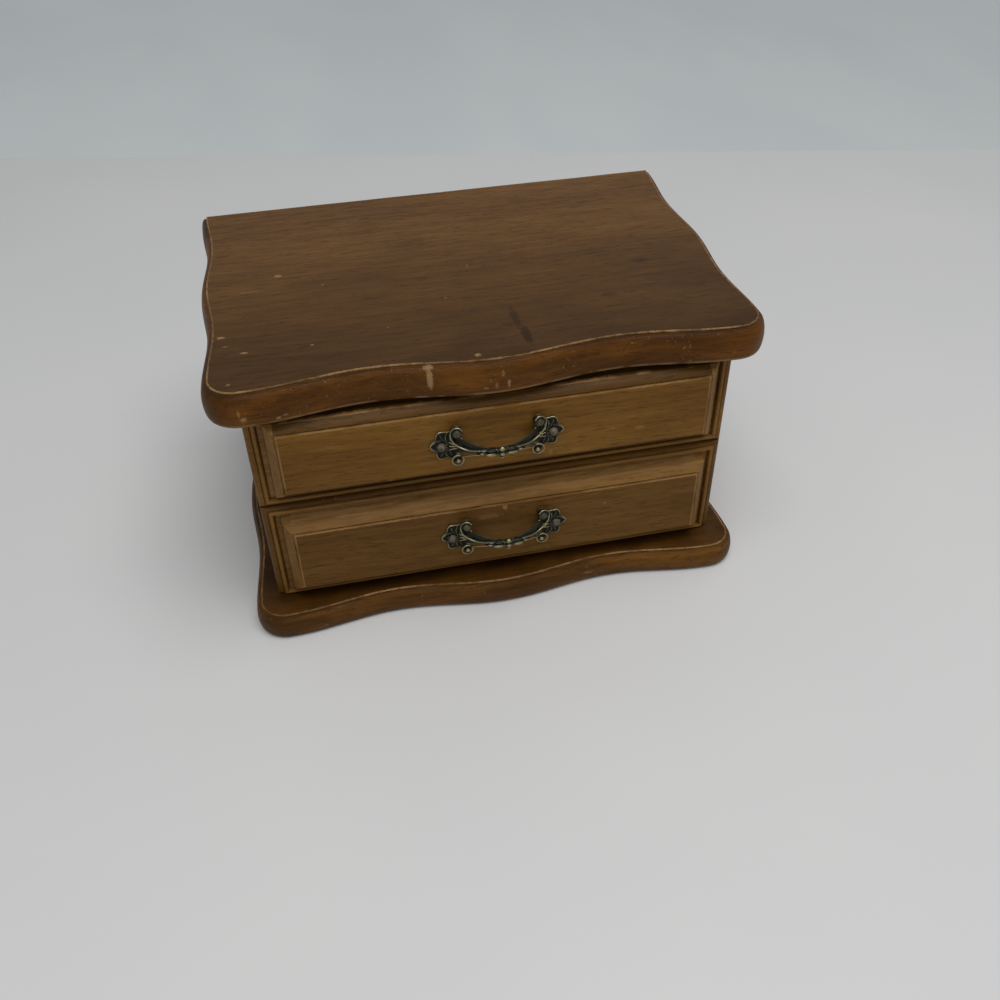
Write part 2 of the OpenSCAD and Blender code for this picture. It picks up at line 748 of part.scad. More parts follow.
module upper_pull() color(BRASS) in_case() translate([upper_pull_x, -field_out, upper_pull_z]) pull();
module upper_pull_pins() color(STEEL) in_case() translate([upper_pull_x, -field_out, upper_pull_z]) pins();
module lower_pull() color(BRASS) in_case() translate([lower_pull_x, -field_out, lower_pull_z]) pull();
module lower_pull_pins() color(STEEL) in_case() translate([lower_pull_x, -field_out, lower_pull_z]) pins();

// ---- nodes ----

base_felt();
base_board();
base_screws();
side_panel(-1);  // side_panel_left
side_panel(1);  // side_panel_right
back_panel();
fixed_front();
compartment_shelf();
drawer_runner(-1);  // drawer_runner_left
drawer_runner(1);  // drawer_runner_right
drawer_stops();
compartment_lining();
compartment_pad();
upper_pull();
upper_pull_pins();
hinge_leaf(-1, -1);  // hinge_left_case_leaf
hinge_leaf(1, -1);  // hinge_right_case_leaf
hinge_pin(-1);  // hinge_left_pin
hinge_pin(1);  // hinge_right_pin
hinge_case_screws();
lid_board();
mirror_card();
mirror_glass();
mirror_frame();
hinge_leaf(-1, 1);  // hinge_left_lid_leaf
hinge_leaf(1, 1);  // hinge_right_lid_leaf
hinge_lid_screws();
drawer_front();
drawer_side(-1);  // drawer_side_left
drawer_side(1);  // drawer_side_right
drawer_back();
drawer_bottom();
drawer_lining();
drawer_pad();
lower_pull();
lower_pull_pins();
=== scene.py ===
"""Vanity box with a mirror in its lid: worn walnut-stained wood, antique cast pulls, velvet inside."""
import math

import bmesh
import bpy
import numpy as np
from mathutils import Matrix, Vector
from mathutils.kdtree import KDTree


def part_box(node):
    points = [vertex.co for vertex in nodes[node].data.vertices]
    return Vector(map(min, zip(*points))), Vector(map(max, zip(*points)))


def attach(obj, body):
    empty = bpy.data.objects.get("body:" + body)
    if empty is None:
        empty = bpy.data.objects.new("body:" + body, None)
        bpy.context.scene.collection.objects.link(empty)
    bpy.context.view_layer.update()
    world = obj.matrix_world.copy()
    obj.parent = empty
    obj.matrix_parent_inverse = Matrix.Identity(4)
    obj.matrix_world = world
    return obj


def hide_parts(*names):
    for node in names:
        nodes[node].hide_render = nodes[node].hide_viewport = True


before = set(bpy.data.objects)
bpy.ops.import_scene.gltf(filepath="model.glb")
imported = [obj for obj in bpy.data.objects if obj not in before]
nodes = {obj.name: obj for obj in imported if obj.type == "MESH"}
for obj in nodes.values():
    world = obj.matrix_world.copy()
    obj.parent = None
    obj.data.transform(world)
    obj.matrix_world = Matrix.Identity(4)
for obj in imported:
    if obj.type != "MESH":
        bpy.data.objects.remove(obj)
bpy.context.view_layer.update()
MM = 0.001


# ---- Node trees and objects ----
# Short ways to write shader and geometry nodes, and to turn a bmesh into an object.


class Value:
    """A socket in a node tree. Arithmetic on it adds Math nodes to that tree."""

    def __init__(self, tree, socket):
        self.tree = tree
        self.socket = socket

    def math(self, operation, *others):
        return add(self.tree, "ShaderNodeMath", [self, *others], operation=operation)

    def vector(self, operation, other=None, out=0):
        return add(self.tree, "ShaderNodeVectorMath", [self, other], out, operation=operation)

    def stretched(self, x, y, z):
        """A place multiplied by its own factor along each axis."""
        return self.vector("MULTIPLY", (x, y, z))

    def scaled(self, factor):
        return add(self.tree, "ShaderNodeVectorMath", {0: self, 3: factor}, operation="SCALE")

    def noise(self, scale, detail=2.0, roughness=0.5):
        """Noise from 0 to 1 at a place, with a scale per unit of that place."""
        return add(self.tree, "ShaderNodeTexNoise", {"Vector": self, "Scale": scale, "Detail": detail,
                                                     "Roughness": roughness})

    def between(self, low, high, start=0.0, end=1.0, smooth=True):
        """Runs from start to end as the value goes from low to high, and stays level past them."""
        return add(self.tree, "ShaderNodeMapRange", [self, low, high, start, end],
                   interpolation_type="SMOOTHSTEP" if smooth else "LINEAR")

    def near(self, centre, inner, outer):
        """1 within the inner distance of a centre value, falling to 0 at the outer distance."""
        return (self - centre).math("ABSOLUTE").between(inner, outer, 1.0, 0.0)

    def parts(self):
        """The three parts of a vector."""
        node = add(self.tree, "ShaderNodeSeparateXYZ", [self]).socket.node
        return [Value(self.tree, socket) for socket in node.outputs]

    def __add__(self, other):
        return self.math("ADD", other)

    def __sub__(self, other):
        return self.math("SUBTRACT", other)

    def __mul__(self, other):
        return self.math("MULTIPLY", other)

    def __truediv__(self, other):
        return self.math("DIVIDE", other)

    def __rsub__(self, other):
        return add(self.tree, "ShaderNodeMath", [other, self], operation="SUBTRACT")

    __radd__ = __add__
    __rmul__ = __mul__


def add(tree, kind, sockets=(), out=0, **settings):
    """Adds a node with its settings and the values or links of its sockets. Gives one of its outputs."""
    node = tree.nodes.new(kind)
    for name, value in settings.items():
        if name == "stops":
            ramp = node.color_ramp.elements
            while len(ramp) < len(value):
                ramp.new(1.0)
            for element, (place, colour) in zip(ramp, value):
                element.position = place
                element.color = (*colour, 1.0)
        else:
            setattr(node, name, value)
    pairs = sockets.items() if isinstance(sockets, dict) else enumerate(sockets)
    for key, value in pairs:
        if isinstance(value, Value):
            tree.links.new(value.socket, node.inputs[key])
        elif value is not None:
            node.inputs[key].default_value = value
    return Value(tree, node.outputs[out])


def combine(tree, x, y, z):
    """A vector from its three parts."""
    return add(tree, "ShaderNodeCombineXYZ", [x, y, z])


def blend(factor, first, second, mode="MIX"):
    """Mixes two colours."""
    first, second = (c if isinstance(c, Value) else (*c, 1.0) for c in (first, second))
    return add(factor.tree, "ShaderNodeMix", {0: factor, 6: first, 7: second}, 2, data_type="RGBA",
               blend_type=mode)


def new_material(name):
    """An empty node material with its tree, its shader, and the object's own coordinates in mm."""
    material = bpy.data.materials.new(name)
    material.use_nodes = True
    tree = material.node_tree
    shader = tree.nodes["Principled BSDF"]
    return material, tree, shader, add(tree, "ShaderNodeTexCoord", (), 3).scaled(1 / MM)


def feed(shader, **values):
    """Sets or links the shader's own sockets."""
    for key, value in values.items():
        socket = shader.inputs[key.replace("_", " ")]
        if isinstance(value, Value):
            value.tree.links.new(value.socket, socket)
        else:
            socket.default_value = value


def bumped(height, depth):
    """A normal from a height, with its depth in metres."""
    return add(height.tree, "ShaderNodeBump", {"Strength": 1.0, "Distance": depth, "Height": height})


def link_object(name, mesh):
    thing = bpy.data.objects.new(name, mesh)
    bpy.context.scene.collection.objects.link(thing)
    return thing


def smooth(thing, angle=32):
    """Smooth shading that keeps edges sharper than the angle."""
    thing.data.shade_smooth()
    thing.data.set_sharp_from_angle(angle=math.radians(angle))


def object_from(shape, name, material=None, angle=None):
    """Turns a bmesh into an object. With an angle it gets smooth shading up to that angle."""
    mesh = bpy.data.meshes.new(name)
    shape.to_mesh(mesh)
    shape.free()
    thing = link_object(name, mesh)
    if material:
        mesh.materials.append(material)
    if angle:
        smooth(thing, angle)
    return thing


def skin_loops(shape, loops):
    """Joins closed loops of points in turn by quads and closes both ends."""
    for near, far in zip(loops, loops[1:]):
        for k, point in enumerate(near):
            after = (k + 1) % len(near)
            shape.faces.new((point, near[after], far[after], far[k]))
    shape.faces.new(loops[0][::-1])
    shape.faces.new(loops[-1])


def flat_sheet(name, corners, material):
    """A sheet of one face between its corners."""
    shape = bmesh.new()
    shape.faces.new([shape.verts.new(corner) for corner in corners])
    return object_from(shape, name, material)


# ---- Table, backdrop and light ----
# A pale laminate table whose far edge shows, over a lower pale cloth. The light is broad and soft:
# one large lamp overhead, a little to the right, and an even sky that metal and varnish reflect.

TABLE_FAR_LEFT = Vector((-1.60, 0.822, 0.0))
TABLE_FAR_RIGHT = Vector((1.60, 0.086, 0.0))
TABLE_NEAR = Vector((0.3, 2.2, 0.0))
CLOTH_DROP = 0.30
CLOTH_HALF = 6.0

material, tree, shader, place = new_material("table_laminate")
cloudy = place.noise(0.006, 3.0)
feed(shader, Base_Color=blend(cloudy, (0.60, 0.61, 0.62), (0.66, 0.66, 0.66)), Roughness=0.55)
table = flat_sheet("table", [TABLE_FAR_LEFT, TABLE_FAR_LEFT - TABLE_NEAR, TABLE_FAR_RIGHT - TABLE_NEAR,
                             TABLE_FAR_RIGHT], material)


def seen_rays(tree):
    """1 for the rays that show a surface straight, in metal or through glass, and 0 for those that light."""
    ray = tree.nodes.new("ShaderNodeLightPath")
    straight, glossy, through = (Value(tree, ray.outputs[f"Is {kind} Ray"])
                                 for kind in ("Camera", "Glossy", "Transmission"))
    return straight.math("MAXIMUM", glossy).math("MAXIMUM", through)


material, tree, shader, place = new_material("backdrop_cloth")
# Painted light and shade of soft folds: lighter and darker bands in the flat cloth's colour.
fold = place.stretched(0.004, 0.0015, 0.004).noise(1.0, 2.0).between(0.3, 0.7)
feed(shader, Base_Color=blend(fold, (0.71, 0.755, 0.765), (0.76, 0.79, 0.80)), Roughness=0.9,
     Emission_Color=blend(seen_rays(tree), (0.0, 0.0, 0.0), (0.097, 0.106, 0.107)),
     Emission_Strength=1.0)
cloth = flat_sheet("backdrop_cloth", [(x * CLOTH_HALF, y * CLOTH_HALF, -CLOTH_DROP)
                                      for x, y in ((-1, -1), (1, -1), (1, 1), (-1, 1))], material)

world = bpy.data.worlds.new("soft_room")
bpy.context.scene.world = world
world.use_nodes = True
tree = world.node_tree
sky = tree.nodes["Background"]
sky.inputs["Color"].default_value = (0.96, 0.98, 1.0, 1.0)
tree.links.new(seen_rays(tree).between(0.0, 1.0, 0.29, 0.52).socket, sky.inputs["Strength"])


def lamp(name, place, target, width, depth, power, colour):
    """A rectangular lamp that faces its target."""
    light = bpy.data.lights.new(name, "AREA")
    light.shape = "RECTANGLE"
    light.size = width
    light.size_y = depth
    light.energy = power
    light.color = colour
    aim = (Vector(target) - Vector(place)).to_track_quat("-Z", "Y")
    link_object(name, light).matrix_world = Matrix.Translation(place) @ aim.to_matrix().to_4x4()


lamp("overhead", (0.12, -0.38, 1.35), (0, -0.1, 0), 1.1, 0.9, 13.6, (1.0, 0.985, 0.96))
lamp("front_fill", (-0.35, -1.9, 1.0), (0, 0, 0.05), 1.4, 0.9, 3.2, (1.0, 0.98, 0.95))

bpy.context.scene.view_settings.view_transform = "Standard"

# ---- Camera ----
# Solved from the box's own right angles: a little to the left of the box, looking down at it.

CAMERA_YAW = 0.2012
CAMERA_PITCH = 0.7137
CAMERA_ROLL = -0.0200
CAMERA_PLACE = Vector((-0.0675, -0.3988, 0.3438))
LENS_MM = 36.64

ahead = Vector((math.sin(CAMERA_YAW) * math.cos(CAMERA_PITCH),
                math.cos(CAMERA_YAW) * math.cos(CAMERA_PITCH), -math.sin(CAMERA_PITCH)))
level = Vector((math.cos(CAMERA_YAW), -math.sin(CAMERA_YAW), 0.0))
upward = level.cross(ahead)
right = math.cos(CAMERA_ROLL) * level + math.sin(CAMERA_ROLL) * upward
above = math.cos(CAMERA_ROLL) * upward - math.sin(CAMERA_ROLL) * level
camera = link_object("camera", bpy.data.cameras.new("camera"))
camera.data.lens = LENS_MM
camera.data.sensor_width = 36.0
camera.data.clip_start = 0.01
turn = Matrix((right, above, -ahead)).transposed().to_4x4()
camera.matrix_world = Matrix.Translation(CAMERA_PLACE) @ turn
bpy.context.scene.camera = camera

# ---- Moulded boards ----
# The lid and the base are thick boards, sawn to waves at the front and sides and square at the back.
# A cutter has run a quirk and an ovolo round their edges, and years of handling have worn the arris.

BACK_COLUMNS, SIDE_COLUMNS, CORNER_COLUMNS, FRONT_COLUMNS = 6, 200, 36, 150
HALF_COLUMNS = BACK_COLUMNS + SIDE_COLUMNS + CORNER_COLUMNS + FRONT_COLUMNS
EDGE_ROWS = {"under_pole": 1, "under": 4, "tuck": 6, "ovolo": 16, "ledge": 2, "quirk": 2, "arris": 4,
             "face": 6, "face_pole": 1}
SECTION_ROWS = sum(EDGE_ROWS.values())
FACE_RING = 8.0
ARRIS_ROUND = 0.35
TUCK_ANGLE = math.radians(75)
LEDGE_RISE = 0.15
QUARTER = math.pi / 2
FLAT_PITCH = 16 * MM
CREST_SHARE = 0.38
BOARD_SHAPE = {"Front wave": 5.3, "Side wave": 2.4, "Corner radius": 11.0, "Quirk height": 1.2,
               "Ledge width": 0.7, "Tuck": 0.9, "Wear": 1.0}


def new_geometry_tree(name, inputs):
    """A geometry node group with named numbers and a material as inputs. Gives the tree and its inputs."""
    tree = bpy.data.node_groups.new(name, "GeometryNodeTree")
    for label in inputs:
        tree.interface.new_socket(label, in_out="INPUT", socket_type="NodeSocketFloat")
    tree.interface.new_socket("Material", in_out="INPUT", socket_type="NodeSocketMaterial")
    tree.interface.new_socket("Geometry", in_out="OUTPUT", socket_type="NodeSocketGeometry")
    given = tree.nodes.new("NodeGroupInput")
    return tree, [Value(tree, given.outputs[label]) for label in (*inputs, "Material")]


def joined(tree, parts):
    """One geometry from several."""
    both = tree.nodes.new("GeometryNodeJoinGeometry")
    for part in parts:
        tree.links.new(part.socket, both.inputs[0])
    return Value(tree, both.outputs[0])


def finished(tree, geometry, material):
    """Ends a geometry tree with real geometry that has its material."""
    made = add(tree, "GeometryNodeRealizeInstances", [geometry])
    made = add(tree, "GeometryNodeSetMaterial", {"Geometry": made, "Material": material})
    tree.links.new(made.socket, tree.nodes.new("NodeGroupOutput").inputs[0])
    return tree


def moulded_board_tree():
    """Geometry nodes for a board with waved sides and front and a quirk and ovolo edge, in mm.
    Half of its skin is a grid that is bent round the outline and over the edge's section."""
    names = ("Half width", "Front", "Back", "Underside", "Thickness", "Swell", "Front wave", "Side wave",
             "Corner radius", "Quirk height", "Ledge width", "Tuck", "Wear")
    tree, inputs = new_geometry_tree("moulded_board", names)
    half, front, back, low, thick, swell, front_wave, side_wave = inputs[:8]
    corner, quirk, ledge, tuck, wear, timber = inputs[8:]

    grid = add(tree, "GeometryNodeMeshGrid", [1.0, 1.0, HALF_COLUMNS + 1, SECTION_ROWS + 1])
    across, over, _ = add(tree, "GeometryNodeInputPosition").parts()
    column = (across + 0.5) * HALF_COLUMNS
    row = (over + 0.5) * SECTION_ROWS

    def share(counter, start, count):
        return counter.between(start, start + count, smooth=False)

    starts = {}
    total = 0
    for name, count in EDGE_ROWS.items():
        starts[name] = share(row, total, count)
        total += count
    under_angle = (1 - starts["tuck"]) * TUCK_ANGLE
    over_angle = starts["ovolo"] * QUARTER
    arris_angle = starts["arris"] * QUARTER
    crest = thick * CREST_SHARE
    rise = thick - quirk - crest
    tucked = tuck * (1 - (1 - under_angle.math("COSINE")) / (1 - math.cos(TUCK_ANGLE)))
    offset = starts["under"] * (swell - tuck + FACE_RING) - FACE_RING + tucked
    offset = offset + (swell - ledge) * (over_angle.math("COSINE") - 1) - ledge * starts["ledge"]
    offset = offset - ARRIS_ROUND * (1 - arris_angle.math("COSINE"))
    offset = offset - starts["face"] * (FACE_RING - ARRIS_ROUND)
    height = crest * (1 - under_angle.math("SINE") / math.sin(TUCK_ANGLE)) + rise * over_angle.math("SINE")
    height = height + starts["ledge"] * LEDGE_RISE
    height = height + starts["quirk"] * (quirk - LEDGE_RISE - ARRIS_ROUND)
    height = height + arris_angle.math("SINE") * ARRIS_ROUND
    closing = starts["under_pole"] * (1 - starts["face_pole"])

    ends = (0, BACK_COLUMNS, BACK_COLUMNS + SIDE_COLUMNS, HALF_COLUMNS - FRONT_COLUMNS)
    counts = (BACK_COLUMNS, SIDE_COLUMNS, CORNER_COLUMNS, FRONT_COLUMNS)
    along_back, along_side, along_corner, along_front = (share(column, s, c) for s, c in zip(ends, counts))
    inset = offset.math("MINIMUM", 0.0)
    turning = along_corner * -QUARTER
    swing = corner + offset

    def hollow(run, waves):
        return (1 - (run * (2 * math.pi * waves)).math("COSINE")) * 0.5

    x = (half + offset) * along_back - hollow(along_side, 2) * side_wave
    x = x + swing * (turning.math("COSINE") - 1) - (half - corner) * along_front
    y = back + inset + (front + corner - back - inset) * along_side
    y = y + swing * turning.math("SINE") + hollow(along_front, 1) * front_wave
    middle = (front + back) * 0.5
    y = middle + (y - middle) * closing
    place = combine(tree, x * closing, y, low + height)
    record = combine(tree, offset, thick - height, 0.0)
    noted = {"Geometry": grid, "Name": "moulding", "Value": record}
    noted = add(tree, "GeometryNodeStoreNamedAttribute", noted, data_type="FLOAT_VECTOR", domain="POINT")
    skin = add(tree, "GeometryNodeSetPosition", {"Geometry": noted, "Position": place})
    mirrored = add(tree, "GeometryNodeTransform", {"Geometry": skin, "Scale": (-1.0, 1.0, 1.0)})
    skin = add(tree, "GeometryNodeFlipFaces", [skin])
    both = joined(tree, (skin, mirrored))
    whole = add(tree, "GeometryNodeMergeByDistance", {"Geometry": both, "Distance": 0.002})
    spot = add(tree, "GeometryNodeInputPosition")
    kept = add(tree, "GeometryNodeInputNamedAttribute", ["moulding"], data_type="FLOAT_VECTOR")
    side, drop, _ = kept.parts()
    nearness = 1 - (side * side + drop * drop).math("SQRT").between(0.0, 1.6)
    wander = spot.noise(0.16, 3.0) - 0.5
    chips = spot.noise(0.075, 2.0).between(0.60, 0.72) * spot.noise(0.5, 2.0)
    push = (wander * 0.34 - chips * 0.9) * nearness * wear
    push = push + (spot.noise(0.03) - 0.5) * wear * 0.25 * drop.between(0.0, 1.5)
    moved = add(tree, "GeometryNodeInputNormal").scaled(push)
    worn = add(tree, "GeometryNodeSetPosition", {"Geometry": whole, "Offset": moved})
    scaled = add(tree, "GeometryNodeTransform", {"Geometry": worn, "Scale": (MM, MM, MM)})
    return finished(tree, scaled, timber)


def evaluated(thing):
    """The mesh of an object with its modifiers applied."""
    graph = bpy.context.evaluated_depsgraph_get()
    return bpy.data.meshes.new_from_object(thing.evaluated_get(graph), preserve_all_data_layers=True,
                                           depsgraph=graph)


def from_tree(name, tree, values):
    """A plain mesh object made by a geometry node tree from named values."""
    thing = link_object(name, bpy.data.meshes.new(name))
    modifier = thing.modifiers.new(name, "NODES")
    modifier.node_group = tree
    for item in tree.interface.items_tree:
        if item.in_out == "INPUT" and item.name in values:
            modifier[item.identifier] = values[item.name]
    mesh = evaluated(thing)
    if mesh.materials[0] is None:
        mesh.materials.pop(index=0)
    thing.modifiers.clear()
    thing.data = mesh
    mesh.name = name
    return thing


def grid_flats(thing, pitch):
    """Redraws the flat faces round a moulded board's two poles as a plain grid, without thin slivers."""
    shape = bmesh.new()
    shape.from_mesh(thing.data)
    bmesh.ops.dissolve_verts(shape, verts=[v for v in shape.verts if len(v.link_edges) > 100])
    for axis in (0, 1):
        low = min(v.co[axis] for v in shape.verts)
        high = max(v.co[axis] for v in shape.verts)
        normal = [float(i == axis) for i in range(3)]
        for step in range(1, int((high - low) / pitch) + 1):
            flats = [f for f in shape.faces if abs(f.normal.z) > 0.9999 and len(f.verts) > 4 or f.tag]
            for face in flats:
                face.tag = True
            edges = {e for f in flats for e in f.edges}
            verts = {v for f in flats for v in f.verts}
            point = [(low + step * pitch) * n for n in normal]
            made = bmesh.ops.bisect_plane(shape, geom=[*flats, *edges, *verts], plane_co=point,
                                          plane_no=normal, dist=1e-7)
            for part in made["geom"]:
                if isinstance(part, bmesh.types.BMFace):
                    part.tag = True
    shape.to_mesh(thing.data)
    shape.free()


board_tree = moulded_board_tree()


def moulded_board(name, low, high, swell, material):
    """A moulded board that fills a box in metres, with its edge's fullest line on the box's sides."""
    thing = from_tree(name, board_tree, {
        "Half width": high.x / MM - swell, "Front": low.y / MM + swell, "Back": high.y / MM,
        "Underside": low.z / MM, "Thickness": (high.z - low.z) / MM, "Swell": swell, "Material": material,
        **BOARD_SHAPE})
    grid_flats(thing, FLAT_PITCH)
    return thing


# ---- Stained wood ----
# Varnished hardwood with fibres, pores and flecks along its grain. Masks say where the stain is rubbed off,
# where shade is painted in (in quirks, creases and under overhangs), where light is painted onto the fronts'
# slopes, and where the varnish looks amber.

AGED_TAN = (0.25, 0.152, 0.070)
VARNISH_AMBER = (0.92, 0.72, 0.34)
VARNISH_SHINE = 0.10


def wood(name, dark, mid, pale, worn_colour, pore=0.5, gloss=0.42, turned=None, worn=None, shade=None,
         wash=None, marks=()):
    """Stained and varnished wood with its grain along X, or along Y where turned is 1. turned, worn, shade
    and wash are functions of the place that give masks: of turned grain, of rubbed-off stain (on the moulded
    fronts also of painted light on their slopes), of darkness, much of it painted shade, and of the amber
    that old varnish shows on an edge. marks are patches of bare wood, or of dark stain where their strength
    is negative (one on the upper front is painted shade), as (centre, half size, strength) in mm."""
    material, tree, shader, place = new_material(name)
    lying = place
    if turned:
        x, y, z = place.parts()
        crossed = combine(tree, y + 310.0, x, z)
        lying = add(tree, "ShaderNodeMix", {0: turned(place), 4: place, 5: crossed}, 1, data_type="VECTOR")
    bend = lying.stretched(0.006, 0.03, 0.03).noise(1.0, 2.0)
    bent = lying.vector("ADD", combine(tree, 0.0, bend * 7.0, bend * 5.0))
    fibre = bent.stretched(0.035, 0.50, 0.50).noise(1.0, 6.0, 0.62)
    cloud = bent.stretched(0.009, 0.035, 0.035).noise(1.0, 3.0)
    dash = bent.stretched(0.13, 1.15, 1.15).noise(1.0, 2.0, 0.55)
    fleck = bent.stretched(0.30, 2.6, 2.6).noise(1.0, 3.0, 0.6)
    tint = fibre.between(0.30, 0.72, smooth=False) * 0.55 + cloud.between(0.28, 0.74) * 0.45
    colour = add(tree, "ShaderNodeValToRGB", [tint], stops=[(0.12, dark), (0.5, mid), (0.88, pale)])
    pores = (dash.between(0.57, 0.66) * 0.8 + fleck.between(0.58, 0.70) * 0.5).math("MINIMUM", 1.0)
    colour = blend(pores * pore, colour, tuple(c * 0.30 for c in dark))
    if wash:
        colour = blend(wash(place), colour, VARNISH_AMBER, "MULTIPLY")
    if shade:
        colour = blend(shade(place), colour, tuple(c * 0.24 for c in dark))
    rub_and_light = worn(place) if worn else fleck.between(0.76, 0.80) * 0.5
    for centre, size, strength in marks:
        reach = place.vector("SUBTRACT", centre).vector("DIVIDE", size).vector("LENGTH", out=1)
        ragged = (place.noise(1.1, 3.0, 0.7) - 0.5) * 1.4
        spot = (reach + ragged).between(0.45, 0.85, 1.0, 0.0) * abs(strength)
        if strength > 0:
            rub_and_light = rub_and_light.math("MAXIMUM", spot)
        else:
            colour = blend(spot, colour, tuple(c * 0.2 for c in dark))
    rub_and_light = rub_and_light.math("MINIMUM", 1.0)
    colour = blend(rub_and_light, colour, worn_colour)
    rough = place.noise(0.05, 3.0) * 0.16 + (gloss - 0.08) + rub_and_light * 0.2 + pores * 0.10
    ripple = fibre * 0.4 + pores * -0.6 + place.noise(0.12, 2.0) * 0.8 - rub_and_light * 0.5
    feed(shader, Base_Color=colour, Roughness=rough, Normal=bumped(ripple, 0.00012),
         Specular_IOR_Level=VARNISH_SHINE)
    return material


def moulding_at(place):
    """Where a point lies on its moulding in mm: how far out from the flat face or field, and how far
    down from a board's top or out from the plane of a front's edges."""
    return add(place.tree, "ShaderNodeAttribute", (), 1, attribute_name="moulding").parts()[:2]


def arris_wear(width, drop_width, cover):
    """Mask for stain rubbed off along the top arris and the foot of a moulded board, in ragged patches."""
    def mask(place):
        side, drop = moulding_at(place)
        ragged = (place.noise(0.45, 4.0, 0.65) - 0.5) * 1.5
        inward = (side + 0.2).math("ABSOLUTE") / width + drop / drop_width
        line = (inward + ragged).between(0.65, 1.05, 1.0, 0.0)
        patch = place.noise(0.045, 3.0).between(cover - 0.1, cover + 0.1)
        foot = drop.near(13.9, 0.2, 1.0) * place.noise(0.12).between(0.34, 0.54) * 0.7
        speck = place.noise(0.9, 3.0).between(0.62, 0.70) * place.noise(0.11).between(0.48, 0.62)
        edge = side.between(0.2, 0.8)
        broken = place.noise(0.3, 3.0, 0.7).between(0.38, 0.56) * 0.6 + 0.4
        return line * (patch * 0.6 + 0.4) * broken + (foot + speck * 0.5) * edge
    return mask


def quirk_shadow(strength, mid_strength):
    """Mask of painted shade in the quirk under the arris, painted shade on the crown of the edge where the
    light falls differently from its lower part, and random darker clouds along the edge.
    """
    def mask(place):
        side, drop = moulding_at(place)
        edge = side.between(0.05, 0.5)
        crease = drop.near(1.25, 0.1, 0.9)
        crown = drop.between(1.0, 4.0) * drop.between(3.0, 7.5, 1.0, 0.0)
        band = place.stretched(0.03, 0.06, 0.25).noise(1.0, 3.0).between(0.3, 0.7)
        cloudy = place.stretched(0.022, 0.04, 0.10).noise(1.0, 3.0).between(0.40, 0.62)
        return crease * strength + (crown * band * mid_strength + cloudy * 0.45) * edge
    return mask


def moulded_edge(place):
    """Mask of a moulded board's edge, as against its flat faces."""
    return moulding_at(place)[0].between(0.05, 0.5)


# ---- Lid board ----
# One thick board of stained hardwood, with the stain rubbed off its top arris and scratches on its
# top. Underneath it has a pocket for the mirror and mortises for the hinges.

LID_SWELL = 3.2
lid_low, lid_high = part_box("lid_board")
LID_TOP = lid_high.z / MM


def lid_shade(place):
    """Painted sheen and shade on the lid: its top darker towards the front than at the back, random stain
    patches on the top, and the painted shade of the quirk and the edge's crown.
    """
    _, y, z = place.parts()
    top = z.between(LID_TOP - 0.9, LID_TOP - 0.3)
    # Painted reflection: the back of the top is left lighter, as the sheen it shows, and the front darker.
    forward = y.between(-70.0, 75.0, 0.64, 0.0, smooth=False)
    stain = place.stretched(0.02, 0.035, 0.035).noise(1.0, 3.0).between(0.42, 0.72)
    return top * (forward + stain * 0.16) + quirk_shadow(0.36, 0.28)(place)


# Bare wood and dark stains on the top, as (x, y, half width, half depth, strength) in mm, and on the
# edge, as (centre, half size, strength).
TOP_MARKS = [(-80.4, 16.1, 2.4, 1.8, 0.8), (-93.5, 4.6, 7.0, 0.5, 0.45), (-105.5, -30.3, 2.4, 1.1, 1.0),
             (-104.0, -37.5, 1.6, 0.6, 0.6), (-96.7, -43.8, 1.9, 0.9, 1.0), (-70.1, -44.2, 0.9, 0.8, 0.9),
             (-103.2, -65.0, 1.2, 1.0, 0.6), (-7.4, -66.9, 1.8, 1.6, 0.9), (14.6, -56.5, 2.9, 9.5, -0.75),
             (13.0, -43.5, 2.4, 13.5, -0.5), (9.5, -47.5, 4.0, 1.6, -0.35), (-62.0, 3.5, 0.9, 0.8, 0.6),
             (-12.0, -20.0, 0.7, 0.7, 0.6), (2.0, 5.5, 0.8, 0.8, 0.8), (-39.0, -38.0, 0.6, 0.6, 0.7),
             (56.0, -34.0, 5.0, 3.0, -0.4), (78.0, -8.0, 6.0, 4.0, -0.4)]
EDGE_MARKS = [((-27.4, -71.5, 121.3), (1.8, 8.0, 6.2), 1.0), ((-27.6, -69.0, 126.0), (3.0, 2.0, 2.2), 0.9),
              ((1.1, -74.0, 121.4), (0.9, 6.0, 2.2), 0.5), ((3.4, -74.0, 116.6), (0.9, 6.0, 3.0), 0.85),
              ((-1.5, -74.0, 116.2), (1.0, 6.0, 2.0), 0.5), ((-5.8, -74.0, 115.6), (1.6, 6.0, 1.0), 0.6),
              ((-86.6, -73.0, 114.4), (1.4, 5.0, 1.1), 0.9), ((-83.8, -73.0, 115.2), (1.5, 5.0, 0.7), 0.7),
              ((-101.0, -73.0, 119.2), (0.8, 5.0, 2.6), 0.6),
              ((-112.0, -66.0, 118.0), (14.0, 14.0, 12.0), -0.35),
              ((-99.4, -73.0, 116.4), (2.0, 5.0, 1.5), 0.9)]
lid_marks = [((x, y, LID_TOP), (wide, deep, 3.0), strength) for x, y, wide, deep, strength in TOP_MARKS]
lid_wood = wood("lid_wood", (0.080, 0.035, 0.0075), (0.124, 0.055, 0.0118), (0.162, 0.077, 0.018), AGED_TAN,
                worn=arris_wear(0.64, 0.8, 0.48), shade=lid_shade, wash=moulded_edge,
                marks=lid_marks + EDGE_MARKS)
lid = moulded_board("lid_board_worn", lid_low, lid_high, LID_SWELL, lid_wood)


def block(target, low, high):
    """Adds a plain box between two corners in metres to a bmesh."""
    size = Vector(high) - Vector(low)
    middle = (Vector(high) + Vector(low)) / 2
    made = bmesh.ops.create_cube(target, size=1.0)
    move = Matrix.Translation(middle) @ Matrix.Diagonal((*size, 1.0))
    bmesh.ops.transform(target, verts=made["verts"], matrix=move)


